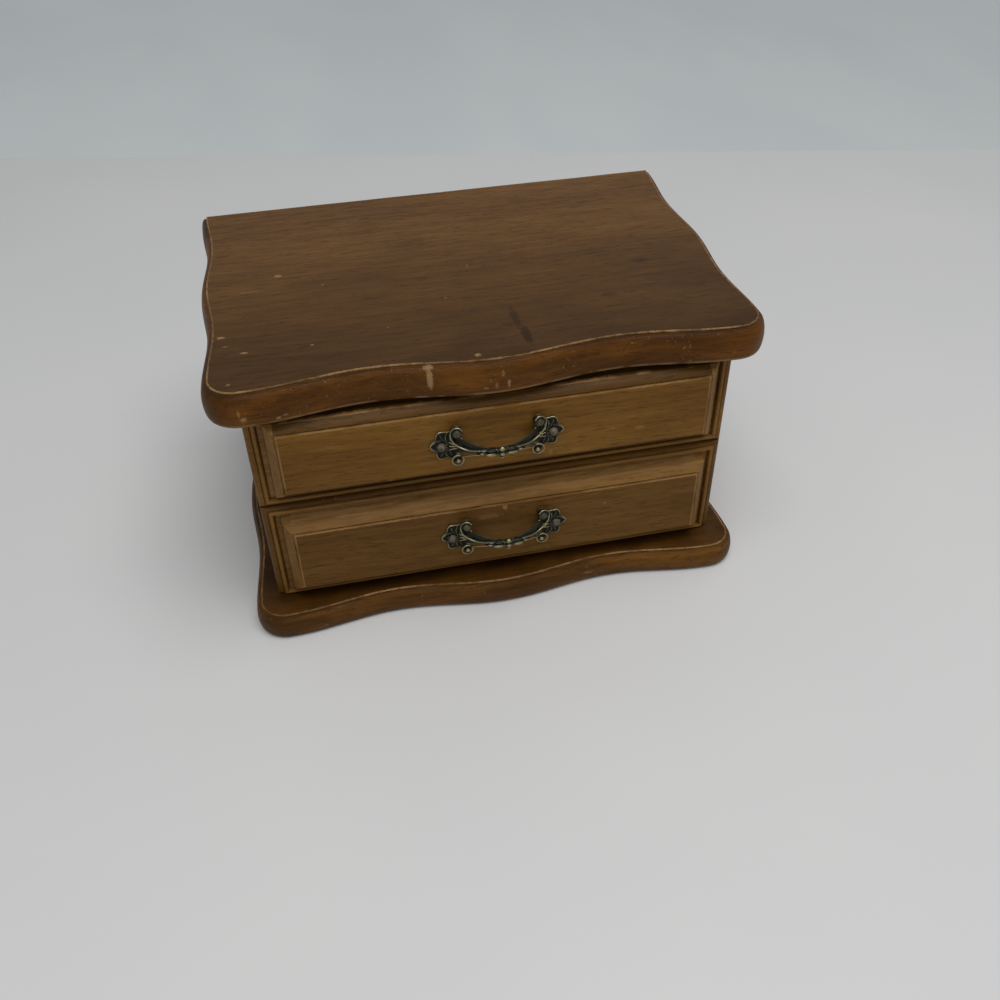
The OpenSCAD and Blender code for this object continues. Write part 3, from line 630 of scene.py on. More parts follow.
def wedge(target, half, corner, depth, rise):
    """Adds the chamfer behind the hinge line, up from a corner in Y and Z."""
    y, z = corner
    section = [(y, z), (y + depth, z + rise), (y + depth, z - CUT_THROUGH), (y, z - CUT_THROUGH)]
    skin_loops(target, [[target.verts.new((x, a, b)) for a, b in section] for x in (-half, half)])
    bmesh.ops.recalc_face_normals(target, faces=target.faces)


def cut_away(thing, build_cutter):
    """Cuts what build_cutter draws out of an object's mesh."""
    shape = bmesh.new()
    build_cutter(shape)
    cutter = object_from(shape, "cutter")
    modifier = thing.modifiers.new("cut", "BOOLEAN")
    modifier.operation = "DIFFERENCE"
    modifier.solver = "EXACT"
    modifier.object = cutter
    thing.data = evaluated(thing)
    thing.modifiers.clear()
    bpy.data.objects.remove(cutter)


def split_long_faces(thing):
    """Splits the many-sided faces that a cut leaves into triangles."""
    shape = bmesh.new()
    shape.from_mesh(thing.data)
    bmesh.ops.triangulate(shape, faces=[face for face in shape.faces if len(face.verts) > 4])
    shape.to_mesh(thing.data)
    shape.free()


def moulding_of(mesh):
    """Each point of a board's mesh with its place over the moulding, to look up after a cut."""
    tree = KDTree(len(mesh.vertices))
    for i, vertex in enumerate(mesh.vertices):
        tree.insert(vertex.co, i)
    tree.balance()
    kept = [Vector(item.vector) for item in mesh.attributes["moulding"].data]
    return tree, kept


def restore_moulding(mesh, tree, kept):
    """Gives a cut mesh the moulding record of the nearest points before the cut."""
    if "moulding" in mesh.attributes:
        mesh.attributes.remove(mesh.attributes["moulding"])
    record = mesh.attributes.new("moulding", "FLOAT_VECTOR", "POINT")
    for i, vertex in enumerate(mesh.vertices):
        record.data[i].vector = kept[tree.find(vertex.co)[1]]


glass_low, glass_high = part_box("mirror_glass")
card_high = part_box("mirror_card")[1]
POCKET_GAP = 0.5 * MM
HINGE_LINE = (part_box("hinge_left_pin")[0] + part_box("hinge_left_pin")[1]) / 2
CASE_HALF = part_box("side_panel_right")[1].x
STOP_SLOPE = math.tan(math.radians(47.5))
leaf_boxes = [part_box(f"hinge_{side}_lid_leaf") for side in ("left", "right")]
LEAF_GAP = 0.3 * MM
KNUCKLE_ROOM = 2.15 * MM
LEAF_DEPTH = MM
CUT_THROUGH = MM


def cut_pocket(shape):
    """The mirror's pocket, and mortises for the hinge leaves."""
    reach = Vector((POCKET_GAP, POCKET_GAP, 0))
    below = Vector((0, 0, CUT_THROUGH))
    block(shape, glass_low - reach - below, Vector((*glass_high.xy, card_high.z)) + reach)
    for low, high in leaf_boxes:
        block(shape, (low.x, low.y - LEAF_GAP, lid_low.z - CUT_THROUGH),
              (high.x, HINGE_LINE.y + LEAF_GAP, lid_low.z + LEAF_DEPTH))


def cut_chamfer(shape):
    """The back edge's slope, which stops the open lid on the back panel."""
    depth = lid_high.y - HINGE_LINE.y + MM
    wedge(shape, CASE_HALF + MM, (HINGE_LINE.y, lid_low.z), depth, depth * STOP_SLOPE)


def cut_grooves(shape):
    """Grooves for the hinges' knuckles."""
    for low, high in leaf_boxes:
        middle = Vector(((low.x + high.x) / 2, HINGE_LINE.y, HINGE_LINE.z))
        lying = Matrix.Translation(middle) @ Matrix.Rotation(QUARTER, 4, "Y")
        bmesh.ops.create_cone(shape, cap_ends=True, segments=32, radius1=KNUCKLE_ROOM, radius2=KNUCKLE_ROOM,
                              depth=high.x - low.x + 2 * LEAF_GAP, matrix=lying)


lid_record = moulding_of(lid.data)
for cut in (cut_pocket, cut_chamfer, cut_grooves):
    cut_away(lid, cut)
split_long_faces(lid)
restore_moulding(lid.data, *lid_record)
smooth(lid)
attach(lid, "lid")
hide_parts("lid_board")

# ---- Base board ----
# The same moulding on a slightly smaller board that reaches further to the front. Its top face is dark and
# dull, painted darker than its edge as the shadow that the case casts on it, most of all close to the case,
# in random patches.

BASE_SWELL = 2.7
base_low, base_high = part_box("base_board")
BASE_TOP = base_high.z / MM


def base_shade(place):
    """Painted shadow of the case on the face of the base: darker than its edge, most of all close to the
    case, in random patches, with the painted shade of the quirk and the edge's crown.
    """
    _, y, z = place.parts()
    top = z.between(BASE_TOP - 0.9, BASE_TOP - 0.2)
    close = y.between(-80.0, -66.0)
    patch = place.noise(0.07, 3.0).between(0.35, 0.65)
    return top * (close * 0.30 + patch * 0.22 + 0.36) + quirk_shadow(0.36, 0.26)(place)


BASE_MARKS = [((-83.0, -84.0, 4.0), (3.0, 6.0, 1.6), 0.9), ((40.0, -80.0, 6.0), (5.0, 6.0, 2.0), 0.7)]
base_wood = wood("base_wood", (0.084, 0.033, 0.0045), (0.125, 0.050, 0.0065), (0.168, 0.071, 0.0105),
                 AGED_TAN, worn=arris_wear(0.6, 0.75, 0.47), shade=base_shade, marks=BASE_MARKS)
base = moulded_board("base_board_worn", base_low, base_high, BASE_SWELL, base_wood)
smooth(base)
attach(base, "case")
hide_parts("base_board")

# ---- Felt under the base ----
# A sheet of pressed felt, glued under the base so that it doesn't scratch the dressing table.

felt_low, felt_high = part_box("base_felt")
felt_material, tree, shader, place = new_material("pressed_felt")
tuft = place.noise(1.4, 4.0, 0.7)
feed(shader, Base_Color=blend(tuft, (0.030, 0.042, 0.032), (0.075, 0.095, 0.072)), Roughness=0.95,
     Sheen_Weight=0.4, Normal=bumped(tuft, 0.0003))


def rounded_blocks(name, boxes, radius, material):
    """Plain blocks between pairs of corners, with all their edges rounded."""
    shape = bmesh.new()
    for low, high in boxes:
        block(shape, low, high)
    bmesh.ops.bevel(shape, geom=shape.edges[:], offset=radius, offset_type="OFFSET", segments=3, profile=0.5,
                    affect="EDGES")
    return object_from(shape, name, material, 50)


felt = rounded_blocks("felt_sheet", [(felt_low, felt_high)], 0.3 * MM, felt_material)
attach(felt, "case")
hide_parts("base_felt")

# ---- Moulded fronts ----
# Two boards worked with the same raised-panel cutters: a roundover, a bead, a channel, a steep step
# and a bevel up to the flat field. The upper one is fixed and lost its top margin when the case was
# fitted, the lower one is the drawer's front and lost part of its foot. The stain is rubbed off
# their arrises.

EDGE_RADIUS = 2.5
BEAD_AT, BEAD_RADIUS = 8.2, 1.0
CHANNEL_OUT = 1.3
STEP_FOOT, STEP_TOP, STEP_OUT = 4.9, 3.9, 6.1
FIELD_OUT, BEVEL_OUT, BEVEL_FROM = 10.0, 9.2, 0.85
MARGIN_SIDE, MARGIN_FULL = 12.2, 11.2
UPPER_HEAD, LOWER_FOOT = 7.1, 8.4
FRONT_COUNTS = (160, 44, 160, 44)
FRONTS_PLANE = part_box("side_panel_right")[0].y - 8 * MM


def front_section():
    """The moulding's section as (distance from the field, height over the edges' plane) in mm."""
    points = [(-9.0, FIELD_OUT), (-3.0, FIELD_OUT), (-1.0, FIELD_OUT), (-0.22, FIELD_OUT),
              (-0.06, FIELD_OUT - 0.07), (0.0, FIELD_OUT - 0.25), (0.02, BEVEL_OUT - 0.35),
              (0.25, BEVEL_OUT - 0.5), (0.6, BEVEL_OUT - 0.18), (BEVEL_FROM, BEVEL_OUT - 0.02)]
    for i in range(1, 9):
        t = i / 9
        crown = 0.35 * math.sin(math.pi * t)
        points.append((BEVEL_FROM + (STEP_TOP - 1.1) * t, BEVEL_OUT + (STEP_OUT - BEVEL_OUT) * t + crown))
    points += [(STEP_TOP - 0.12, STEP_OUT + 0.06), (STEP_TOP + 0.04, STEP_OUT - 0.12),
               (STEP_TOP + 0.12, STEP_OUT - 0.4), (STEP_TOP + 0.5, STEP_OUT * 0.5),
               (STEP_FOOT - 0.1, CHANNEL_OUT + 0.4), (STEP_FOOT + 0.15, CHANNEL_OUT + 0.05),
               (STEP_FOOT + 0.5, CHANNEL_OUT), (BEAD_AT - BEAD_RADIUS - 0.3, CHANNEL_OUT + 0.02)]
    for i in range(11):
        angle = math.radians(200 - 22 * i)
        swell = 0.95 * BEAD_RADIUS * math.sin(angle)
        points.append((BEAD_AT + BEAD_RADIUS * math.cos(angle), EDGE_RADIUS + swell))
    points.append((BEAD_AT + BEAD_RADIUS + 0.35, EDGE_RADIUS))
    return points


def ring_points(half, low, high, counts):
    """Points round a rectangle in X and Z, with the same count on each side at any size."""
    corners = [(-half, low), (half, low), (half, high), (-half, high)]
    points = []
    for i, count in enumerate(counts):
        (x0, z0), (x1, z1) = corners[i], corners[(i + 1) % 4]
        points += [(x0 + (x1 - x0) * k / count, z0 + (z1 - z0) * k / count) for k in range(count)]
    return points


def moulded_front(name, node, foot_margin, head_margin, material):
    """A raised-panel board, built whole and then sawn off at the node's own foot and head."""
    low, high = (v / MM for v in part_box(node))
    field_half = high.x - MARGIN_SIDE
    field = (low.z + foot_margin, high.z - head_margin)
    rings = [(away, away, out) for away, out in front_section()]
    for i in range(9):
        angle = QUARTER * i / 8
        back_off = EDGE_RADIUS * (1 - math.sin(angle))
        rings.append((MARGIN_SIDE - back_off, MARGIN_FULL - back_off, EDGE_RADIUS * math.cos(angle)))
    rings.append((MARGIN_SIDE, MARGIN_FULL, FRONTS_PLANE / MM - high.y))
    shape = bmesh.new()
    away_layer = shape.verts.layers.float_vector.new("moulding")
    loops = []
    for away, away_end, out in rings:
        loop = []
        for x, z in ring_points(field_half + away, field[0] - away_end, field[1] + away_end, FRONT_COUNTS):
            vert = shape.verts.new((x * MM, FRONTS_PLANE - out * MM, z * MM))
            vert[away_layer] = (away, out, 0.0)
            loop.append(vert)
        loops.append(loop)
    skin_loops(shape, loops)
    for height, normal in ((low.z, (0, 0, -1)), (high.z, (0, 0, 1))):
        cut = bmesh.ops.bisect_plane(shape, geom=shape.verts[:] + shape.edges[:] + shape.faces[:], dist=1e-7,
                                     plane_co=(0, 0, height * MM), plane_no=normal, clear_outer=True)
        rim = [e for e in cut["geom_cut"] if isinstance(e, bmesh.types.BMEdge)]
        if rim:
            bmesh.ops.holes_fill(shape, edges=rim, sides=0)
    bmesh.ops.recalc_face_normals(shape, faces=shape.faces)
    return object_from(shape, name, material, 30)


def flank_of(place):
    """Mask of the margins at a front's two ends, beside its field."""
    return place.parts()[0].math("ABSOLUTE").between(90.0, 90.5)


def front_wear_and_light(flank_light_and_rub, head_light_and_rub):
    """Rubbed arrises at the field's edge and on the step, most of all at the ends of the field. The margins'
    inner slopes, the step wall and the channel floor get painted light where they face the light or lie in
    recesses, streaked like wear, beside the field and above it by their own amounts."""
    def mask(place):
        away, _ = moulding_at(place)
        ragged = place.noise(0.55, 4.0, 0.65) - 0.5
        ends = place.parts()[0].math("ABSOLUTE").between(88.6, 89.4)
        rim = (away + ragged * 0.9).math("ABSOLUTE")
        patch = place.noise(0.08).between(0.36, 0.56) * 0.6 + 0.25
        line = (rim / (ends * 0.85 + 0.24)).between(0.55, 1.0, 1.0, 0.0) * patch
        arris = (away + ragged * 0.5).near(STEP_TOP, 0.12, 0.36)
        arris = arris * place.noise(0.07, 2.0).between(0.42, 0.56) * 0.8
        bead = away.near(BEAD_AT, 0.2, 0.7) * 0.32
        specks = place.noise(0.8, 2.0).between(0.70, 0.76) * place.noise(0.03).between(0.5, 0.62) * 0.8
        streak = place.stretched(0.06, 0.5, 0.5).noise(1.0, 4.0, 0.65).between(0.34, 0.62)
        # Painted light on the bevel, the step and the channel, with streaks of wear.
        slope = away.between(0.7, 1.0) * away.between(6.5, 6.9, 1.0, 0.0) * (streak * 0.7 + 0.3)
        wall = away.between(STEP_TOP, STEP_TOP + 0.3) * 0.8 + 1.0
        flank = flank_of(place)
        rub_and_light = slope * wall * (flank * flank_light_and_rub + (1 - flank) * head_light_and_rub)
        return line.math("MAXIMUM", arris).math("MAXIMUM", bead).math("MAXIMUM", specks).math("MAXIMUM", rub_and_light)
    return mask


def front_shade(field_dark, bevel_dark, round_dark, head_dark):
    """Painted shade in the quirk and beside the bead, with how dark the field and the rounded outer edge are,
    and how dark the bevel above the field and the step under the lid are painted as the lid's shadow."""
    def mask(place):
        away, _ = moulding_at(place)
        quirk = away.near(0.3, 0.05, 0.45)
        bead_sides = (away - BEAD_AT).math("ABSOLUTE").near(1.25, 0.1, 0.45)
        spread = place.noise(0.12, 3.0).between(0.3, 0.6) * 0.6 + 0.4
        field = away.between(-0.2, 0.0, field_dark, 0.0)
        bevel = away.near(2.3, 1.5, 1.9) * bevel_dark
        rounded = away.between(9.5, 9.8) * round_dark
        # Painted shadow of the lid on the step under it.
        head = place.parts()[2].between(HEAD_FROM, HEAD_FROM + 1.5) * head_dark
        head = head * away.between(STEP_TOP, STEP_TOP + 0.3)
        middle = (bevel + head) * (1 - flank_of(place))
        return (quirk * 0.7 + bead_sides * 0.6) * spread + field + rounded + middle
    return mask


# Height in mm from which the lid's shadow is painted on the upper front's step.
HEAD_FROM = 105.5
# The last upper mark is painted shade on the upper front's foot below the field, in the field's shadow.
UPPER_MARKS = [((-46.4, -72.5, 74.9), (3.0, 3.0, 1.3), 0.9), ((21.4, -72.5, 77.9), (1.4, 3.0, 2.2), 0.5),
               ((48.2, -72.5, 85.7), (1.2, 3.0, 0.8), 0.7), ((60.2, -72.5, 84.1), (3.4, 3.0, 1.4), 0.5),
               ((-5.0, -72.5, 99.0), (26.0, 3.0, 5.0), -0.3), ((-20.0, -66.0, 69.5), (100.0, 8.0, 6.0), -0.5)]
LOWER_MARKS = [((1.2, -72.5, 50.9), (1.6, 3.0, 1.8), 0.9), ((46.9, -72.5, 44.1), (1.0, 3.0, 0.8), 0.8),
               ((-6.0, -72.5, 47.0), (8.0, 3.0, 2.2), 0.35), ((-2.0, -72.5, 45.0), (24.0, 3.0, 5.0), -0.25)]
FRONT_TAN = (0.26, 0.145, 0.055)
FRONT_TONES = (0.116, 0.050, 0.0085), (0.164, 0.075, 0.0125), (0.212, 0.106, 0.020)
# The upper front's bevel and step under the lid are painted dark as the lid's shadow, and its end slopes
# painted lighter; the lower front's slopes above the field are painted lighter where they face the light.
upper_wood = wood("upper_front_wood", *FRONT_TONES, FRONT_TAN, worn=front_wear_and_light(0.50, 0.02),
                  shade=front_shade(0.0, 0.62, 0.0, 0.9), marks=UPPER_MARKS)
lower_wood = wood("drawer_front_wood", *FRONT_TONES, FRONT_TAN, worn=front_wear_and_light(0.25, 0.50),
                  shade=front_shade(0.36, 0.0, 0.38, 0.0), marks=LOWER_MARKS)

upper_front = moulded_front("fixed_front_worn", "fixed_front", MARGIN_FULL, UPPER_HEAD, upper_wood)
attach(upper_front, "case")
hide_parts("fixed_front")
lower_front = moulded_front("drawer_front_worn", "drawer_front", LOWER_FOOT, MARGIN_FULL, lower_wood)
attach(lower_front, "drawer")
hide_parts("drawer_front")

# ---- Side panels, back panel and mirror frame ----
# Plain planed boards with the same stain and varnish, less rubbed because nobody touches them.

PANEL_TONES = (0.070, 0.030, 0.008), (0.105, 0.047, 0.013), (0.140, 0.068, 0.021)


def dress(names, material):
    """Gives CAD nodes that keep their own mesh a material."""
    for node in names:
        nodes[node].data.materials.clear()
        nodes[node].data.materials.append(material)


def always(place):
    """Grain turned along Y everywhere."""
    return place.parts()[0].math("MULTIPLY", 0.0) + 1.0


frame_low, frame_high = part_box("mirror_frame")
frame_middle = (frame_low + frame_high) / 2 / MM
frame_half = (frame_high - frame_low) / 2 / MM


def beside(place):
    """Grain turned along Y in the mirror frame's two side strips, as far as the mitres."""
    x, y, _ = place.parts()
    from_side = frame_half.x - x.math("ABSOLUTE")
    from_end = frame_half.y - (y - frame_middle.y).math("ABSOLUTE")
    return (from_end - from_side).between(-0.02, 0.02, smooth=False)


dress(["side_panel_left", "side_panel_right"], wood("side_wood", *PANEL_TONES, AGED_TAN, turned=always))
dress(["back_panel"], wood("back_wood", *PANEL_TONES, AGED_TAN))
dress(["mirror_frame"], wood("frame_wood", *PANEL_TONES, AGED_TAN, turned=beside))

# ---- Drawer box, shelf, runners and stops ----
# Bare planed softwood: pale, with clear bands of growth, a little dusty, the runners rubbed with wax.

BARE_TONES = (0.34, 0.20, 0.095), (0.50, 0.33, 0.17), (0.62, 0.44, 0.25)
BARE_RUB = (0.62, 0.45, 0.27)
dress(["compartment_shelf", "drawer_stops", "drawer_back", "drawer_bottom"],
      wood("bare_softwood", *BARE_TONES, BARE_RUB, pore=0.18, gloss=0.62))
dress(["drawer_runner_left", "drawer_runner_right", "drawer_side_left", "drawer_side_right"],
      wood("bare_softwood_along", *BARE_TONES, BARE_RUB, pore=0.18, gloss=0.62, turned=always))

# ---- Mirror ----
# Silvered float glass with a card behind it, held in its pocket by the mitred frame.

glass_material, tree, shader, place = new_material("silvered_glass")
haze = place.noise(0.04, 4.0).between(0.55, 0.8)
speck = place.noise(0.9, 2.0).between(0.74, 0.78) * place.noise(0.05).between(0.5, 0.7)
feed(shader, Base_Color=blend(speck, (0.86, 0.89, 0.90), (0.20, 0.17, 0.12)),
     Metallic=1.0 - speck * 0.7, Roughness=haze * 0.05 + 0.025 + speck * 0.4)
dress(["mirror_glass"], glass_material)

card_material, tree, shader, place = new_material("grey_board")
feed(shader, Base_Color=blend(place.noise(1.2, 4.0, 0.7), (0.22, 0.19, 0.15), (0.34, 0.30, 0.24)),
     Roughness=0.9)
dress(["mirror_card"], card_material)

# ---- Velvet linings ----
# Short-pile velvet glued over card on the walls, and over thin wadding on the shelf and in the drawer,
# where it makes a low pad with drawn-in sides, tied down with covered buttons and folds between them.

velvet, tree, shader, place = new_material("wine_velvet")
pile = place.noise(2.6, 3.0, 0.7)
brushed = place.stretched(0.03, 0.05, 0.05).noise(1.0, 3.0).between(0.32, 0.68)
deep_wine = blend(brushed, (0.078, 0.006, 0.012), (0.108, 0.009, 0.017))
piled = blend(pile * 0.5, deep_wine, (0.045, 0.004, 0.009))
# Painted shade in the dips round the buttons and along the folds, read from an attribute of the pad.
crushed = add(tree, "ShaderNodeAttribute", out=2, attribute_name="crushed")
feed(shader, Base_Color=blend(crushed * 0.8, piled, (0.020, 0.0015, 0.003)), Roughness=0.85,
     Sheen_Weight=0.28, Sheen_Roughness=0.35, Sheen_Tint=(0.8, 0.18, 0.22, 1.0),
     Normal=bumped(pile, 0.00025))
LINING_CARD = 1.5 * MM
LINING_ROUND = 0.45 * MM
BUTTON_ROWS, BUTTON_COLUMNS = 4, 5
BUTTON_SIZE = Vector((2.0, 2.0, 0.9)) * MM
PULL_IN = 0.35 * MM
PAD_CELLS = 180, 126


def lining_cards(name, node, body, material):
    """Four cards round the walls inside a node's box, with soft edges."""
    low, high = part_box(node)
    long_low, long_high = low.x + LINING_CARD, high.x - LINING_CARD
    cards = [(low.x, low.y, long_low, high.y), (long_high, low.y, high.x, high.y),
             (long_low, low.y, long_high, low.y + LINING_CARD),
             (long_low, high.y - LINING_CARD, long_high, high.y)]
    boxes = [((x0, y0, low.z), (x1, y1, high.z)) for x0, y0, x1, y1 in cards]
    thing = rounded_blocks(name, boxes, LINING_ROUND, material)
    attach(thing, body)
    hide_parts(node)


def fold_between(column, row):
    """How far a place, counted in buttons, is from the nearest of the folds that join the buttons."""
    lines = (column - 0.5 * row - 0.25, column + 0.5 * row - 0.25)
    return min(abs(line - round(line)) for line in lines)


def velvet_pad(name, node, body, material):
    """A crowned pad in a node's box, tied down at a grid of covered buttons, its sides drawn in between
    the corners."""
    low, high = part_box(node)
    size = high - low
    across, along = PAD_CELLS
    bottom = low.z
    pitch_x, pitch_y = size.x / BUTTON_COLUMNS, size.y / BUTTON_ROWS
    shape = bmesh.new()
    crushed = shape.verts.layers.float.new("crushed")
    buttons = [(low.x + pitch_x * (a + 0.25 + b % 2 / 2), low.y + pitch_y * (b + 0.5))
               for a in range(BUTTON_COLUMNS) for b in range(BUTTON_ROWS)]
    for x, y in buttons:
        seat = Matrix.Translation((x, y, bottom + size.z * 0.42)) @ Matrix.Diagonal((*BUTTON_SIZE, 1.0))
        bmesh.ops.create_uvsphere(shape, u_segments=20, v_segments=10, radius=1.0, matrix=seat)
    top = {}
    for i in range(across + 1):
        for j in range(along + 1):
            u, v = i / across, j / along
            across_rim, along_rim = abs(2 * u - 1), abs(2 * v - 1)
            x = low.x + size.x * u - math.copysign(PULL_IN, u - 0.5) * across_rim ** 6 * (1 - along_rim ** 4)
            y = low.y + size.y * v - math.copysign(PULL_IN, v - 0.5) * along_rim ** 6 * (1 - across_rim ** 4)
            edge = min(min(u, 1 - u) * size.x, min(v, 1 - v) * size.y) / MM
            rise = math.sqrt(max(0.0, 1 - (1 - min(edge / 6.0, 1.0)) ** 2))
            crown = 0.78 + 0.22 * (1 - across_rim ** 3) * (1 - along_rim ** 3)
            near = min(math.hypot(x - cx, y - cy) for cx, cy in buttons) / MM
            dip = math.exp(-(near / 5.0) ** 1.4)
            fold = fold_between(u * BUTTON_COLUMNS, v * BUTTON_ROWS - 0.5) * pitch_x / MM
            crease = math.exp(-(fold / 2.4) ** 1.2) * min(edge / 8.0, 1.0)
            height = size.z * (0.32 + 0.66 * rise * crown * (1 - max(0.88 * dip, 0.66 * crease)))
            top[i, j] = shape.verts.new((x, y, bottom + height))
            # Painted shade round each button and along the folds between them.
            line = math.exp(-(fold / 0.9) ** 1.6) * crease
            top[i, j][crushed] = max(math.exp(-(near / 2.9) ** 4), 0.7 * line)
    for i in range(across):
        for j in range(along):
            shape.faces.new((top[i, j], top[i + 1, j], top[i + 1, j + 1], top[i, j + 1]))
    rim = [(i, 0) for i in range(across)] + [(across, j) for j in range(along)]
    rim += [(i, along) for i in range(across, 0, -1)] + [(0, j) for j in range(along, 0, -1)]
    foot = [shape.verts.new((low.x + size.x * i / across, low.y + size.y * j / along, bottom))
            for i, j in rim]
    for i in range(len(rim)):
        j = (i + 1) % len(rim)
        shape.faces.new((top[rim[j]], top[rim[i]], foot[i], foot[j]))
    shape.faces.new(foot[::-1])
    bmesh.ops.recalc_face_normals(shape, faces=shape.faces)
    thing = object_from(shape, name, material, 60)
    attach(thing, body)
    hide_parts(node)


lining_cards("compartment_velvet", "compartment_lining", "case", velvet)
velvet_pad("compartment_velvet_pad", "compartment_pad", "case", velvet)
lining_cards("drawer_velvet", "drawer_lining", "drawer", velvet)
velvet_pad("drawer_velvet_pad", "drawer_pad", "drawer", velvet)

# ---- Hinges and screws ----
# Two pressed brass butt hinges let into the back panel and the lid, each on a steel pin, with four
# countersunk brass screws. Long steel screws hold the base on from below.

brass, tree, shader, place = new_material("hinge_brass")
dull = place.noise(0.25, 4.0, 0.6)
feed(shader, Base_Color=blend(dull.between(0.35, 0.7), (0.62, 0.44, 0.17), (0.28, 0.19, 0.08)),
     Metallic=1.0, Roughness=dull * 0.35 + 0.22,
     Normal=bumped(place.stretched(0.4, 6.0, 6.0).noise(1.0), 0.00003))
steel, tree, shader, place = new_material("plain_steel")
dull = place.noise(0.5, 4.0, 0.6)
feed(shader, Base_Color=blend(dull.between(0.4, 0.7), (0.46, 0.45, 0.43), (0.24, 0.22, 0.20)),
     Metallic=1.0, Roughness=dull * 0.3 + 0.28)
dress(["hinge_left_case_leaf", "hinge_right_case_leaf", "hinge_left_lid_leaf", "hinge_right_lid_leaf"], brass)
dress(["hinge_left_pin", "hinge_right_pin", "base_screws"], steel)


def slotted_screws_tree():
    """Geometry nodes that set a countersunk, slotted screw on each of a row of four points."""
    names = ("Hinge distance", "Screw distance", "Across", "Face", "Length", "Radius", "Up")
    tree, (hinge, screw, across, face, length, radius, up, metal) = new_geometry_tree("slotted_screws", names)
    row = add(tree, "GeometryNodeMeshLine", {"Count": 4})
    count = add(tree, "GeometryNodeInputIndex")
    outer = (count * 0.5).math("FLOOR") * 2 - 1
    inner = count.math("MODULO", 2.0) * 2 - 1
    place = combine(tree, outer * hinge + inner * screw, across, face)
    row = add(tree, "GeometryNodeSetPosition", {"Geometry": row, "Position": place})
    shank = add(tree, "GeometryNodeMeshCylinder", {"Vertices": 16, "Radius": radius, "Depth": length})
    lower = combine(tree, 0.0, 0.0, length * -0.5 - radius * 0.9)
    shank = add(tree, "GeometryNodeTransform", {"Geometry": shank, "Translation": lower})
    head = add(tree, "GeometryNodeMeshCone", {"Vertices": 32, "Radius Top": radius * 2.0,
                                              "Radius Bottom": radius, "Depth": radius})
    down = combine(tree, 0.0, 0.0, radius * -1.0)
    head = add(tree, "GeometryNodeTransform", {"Geometry": head, "Translation": down})
    slot_size = combine(tree, radius * 5.0, radius * 0.55, radius * 0.7)
    slot = add(tree, "GeometryNodeMeshCube", [slot_size])
    head = add(tree, "GeometryNodeMeshBoolean", {0: head, 1: slot}, operation="DIFFERENCE")
    turn = add(tree, "FunctionNodeEulerToRotation", [combine(tree, up * math.pi, 0.0, count * 0.9 + 0.4)])
    screw = joined(tree, (shank, head))
    row = add(tree, "GeometryNodeInstanceOnPoints", {"Points": row, "Instance": screw, "Rotation": turn})
    return finished(tree, row, metal)


screws_tree = slotted_screws_tree()
HINGE_SCREW_RADIUS = 0.0007
leaf_low, leaf_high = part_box("hinge_right_case_leaf")
hinge_at = (leaf_low.x + leaf_high.x) / 2
for node, body, up in (("hinge_case_screws", "case", 0.0), ("hinge_lid_screws", "lid", 1.0)):
    low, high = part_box(node)
    made = from_tree(node + "_slotted", screws_tree, {
        "Hinge distance": hinge_at, "Screw distance": high.x - 2 * HINGE_SCREW_RADIUS - hinge_at,
        "Across": (low.y + high.y) / 2, "Face": low.z if up else high.z,
        "Length": high.z - low.z - HINGE_SCREW_RADIUS, "Radius": HINGE_SCREW_RADIUS, "Up": up,
        "Material": brass})
    smooth(made, 40)
    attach(made, body)
    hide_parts(node)

# ---- Pulls ----
# One-piece castings in antique brass: an arched strap with a raised rim, a rosette with two pairs of
# leaves in the middle, and at each end two scrolls and a fan of leaves that lies on the field and
# takes the round-headed pin. Dark in the hollows, rubbed bright on the rims. Built from closed forms
# that are fused into one skin.

PIN_HALF = 23.5
STRAP_OUT = 9.6
STRAP_END = 18.0
STRAP_RADIUS = 24.25
SCROLL_X, SCROLL_Z, RING_RADIUS = 17.0, 7.3, 2.45
RIM_POINTS = [(2.2, 9.7, 0.9), (6.0, 9.0, 0.7), (10.0, 7.7, 0.1), (13.6, 5.9, -0.1), (16.8, 4.4, 1.1),
              (19.2, 3.6, 3.6), (19.8, 3.3, 6.9), (18.6, 3.5, 9.4), (16.4, 3.9, 9.8), (15.0, 4.3, 8.5)]
CURL_POINTS = [(3.4, 9.1, -1.5), (7.0, 8.4, -1.8), (11.0, 6.8, -2.6), (14.0, 4.9, -4.0), (15.6, 3.2, -5.3)]
FLOWER_LEAVES = [(3.9, 0.75, 2.0), (4.2, -1.35, 2.5), (7.0, 0.35, 1.3), (7.4, -1.1, 1.6)]
FLOWER_BALLS = [(0.7, 1.5, 1.3), (0.9, -0.7, 1.25), (0.3, -2.5, 1.1)]
FAN_ROOT, FAN_REACH = 19.0, 9.3
FUSE_MM = 0.24
TUBE_SIDES, STRAP_SIDES, STRAP_HALF_STEPS = 8, 14, 24


def arch(x):
    """How far the strap's face stands out from the field at a distance from the middle."""
    return STRAP_OUT - STRAP_RADIUS + math.sqrt(max(STRAP_RADIUS ** 2 - x * x, 0.0))


def strap_top(x):
    """Height of the strap's upper edge at a distance from the middle."""
    return 1.5 + 4.8 * (x / STRAP_END) ** 2.6


def tube(shape, path, radii):
    """Adds a closed round tube along points in (x, out, z), with one radius or one for each point."""
    points = [Vector(p) for p in path]
    if not isinstance(radii, list):
        radii = [radii] * len(points)
    rings = []
    side = None
    for i, point in enumerate(points):
        ahead = (points[min(i + 1, len(points) - 1)] - points[max(i - 1, 0)]).normalized()
        if side is None:
            side = ahead.orthogonal().normalized()
        side = (side - ahead * side.dot(ahead)).normalized()
        other = ahead.cross(side)
        rings.append([shape.verts.new(point + (side * math.cos(a) + other * math.sin(a)) * radii[i])
                      for a in (2 * math.pi * k / TUBE_SIDES for k in range(TUBE_SIDES))])
    skin_loops(shape, rings)


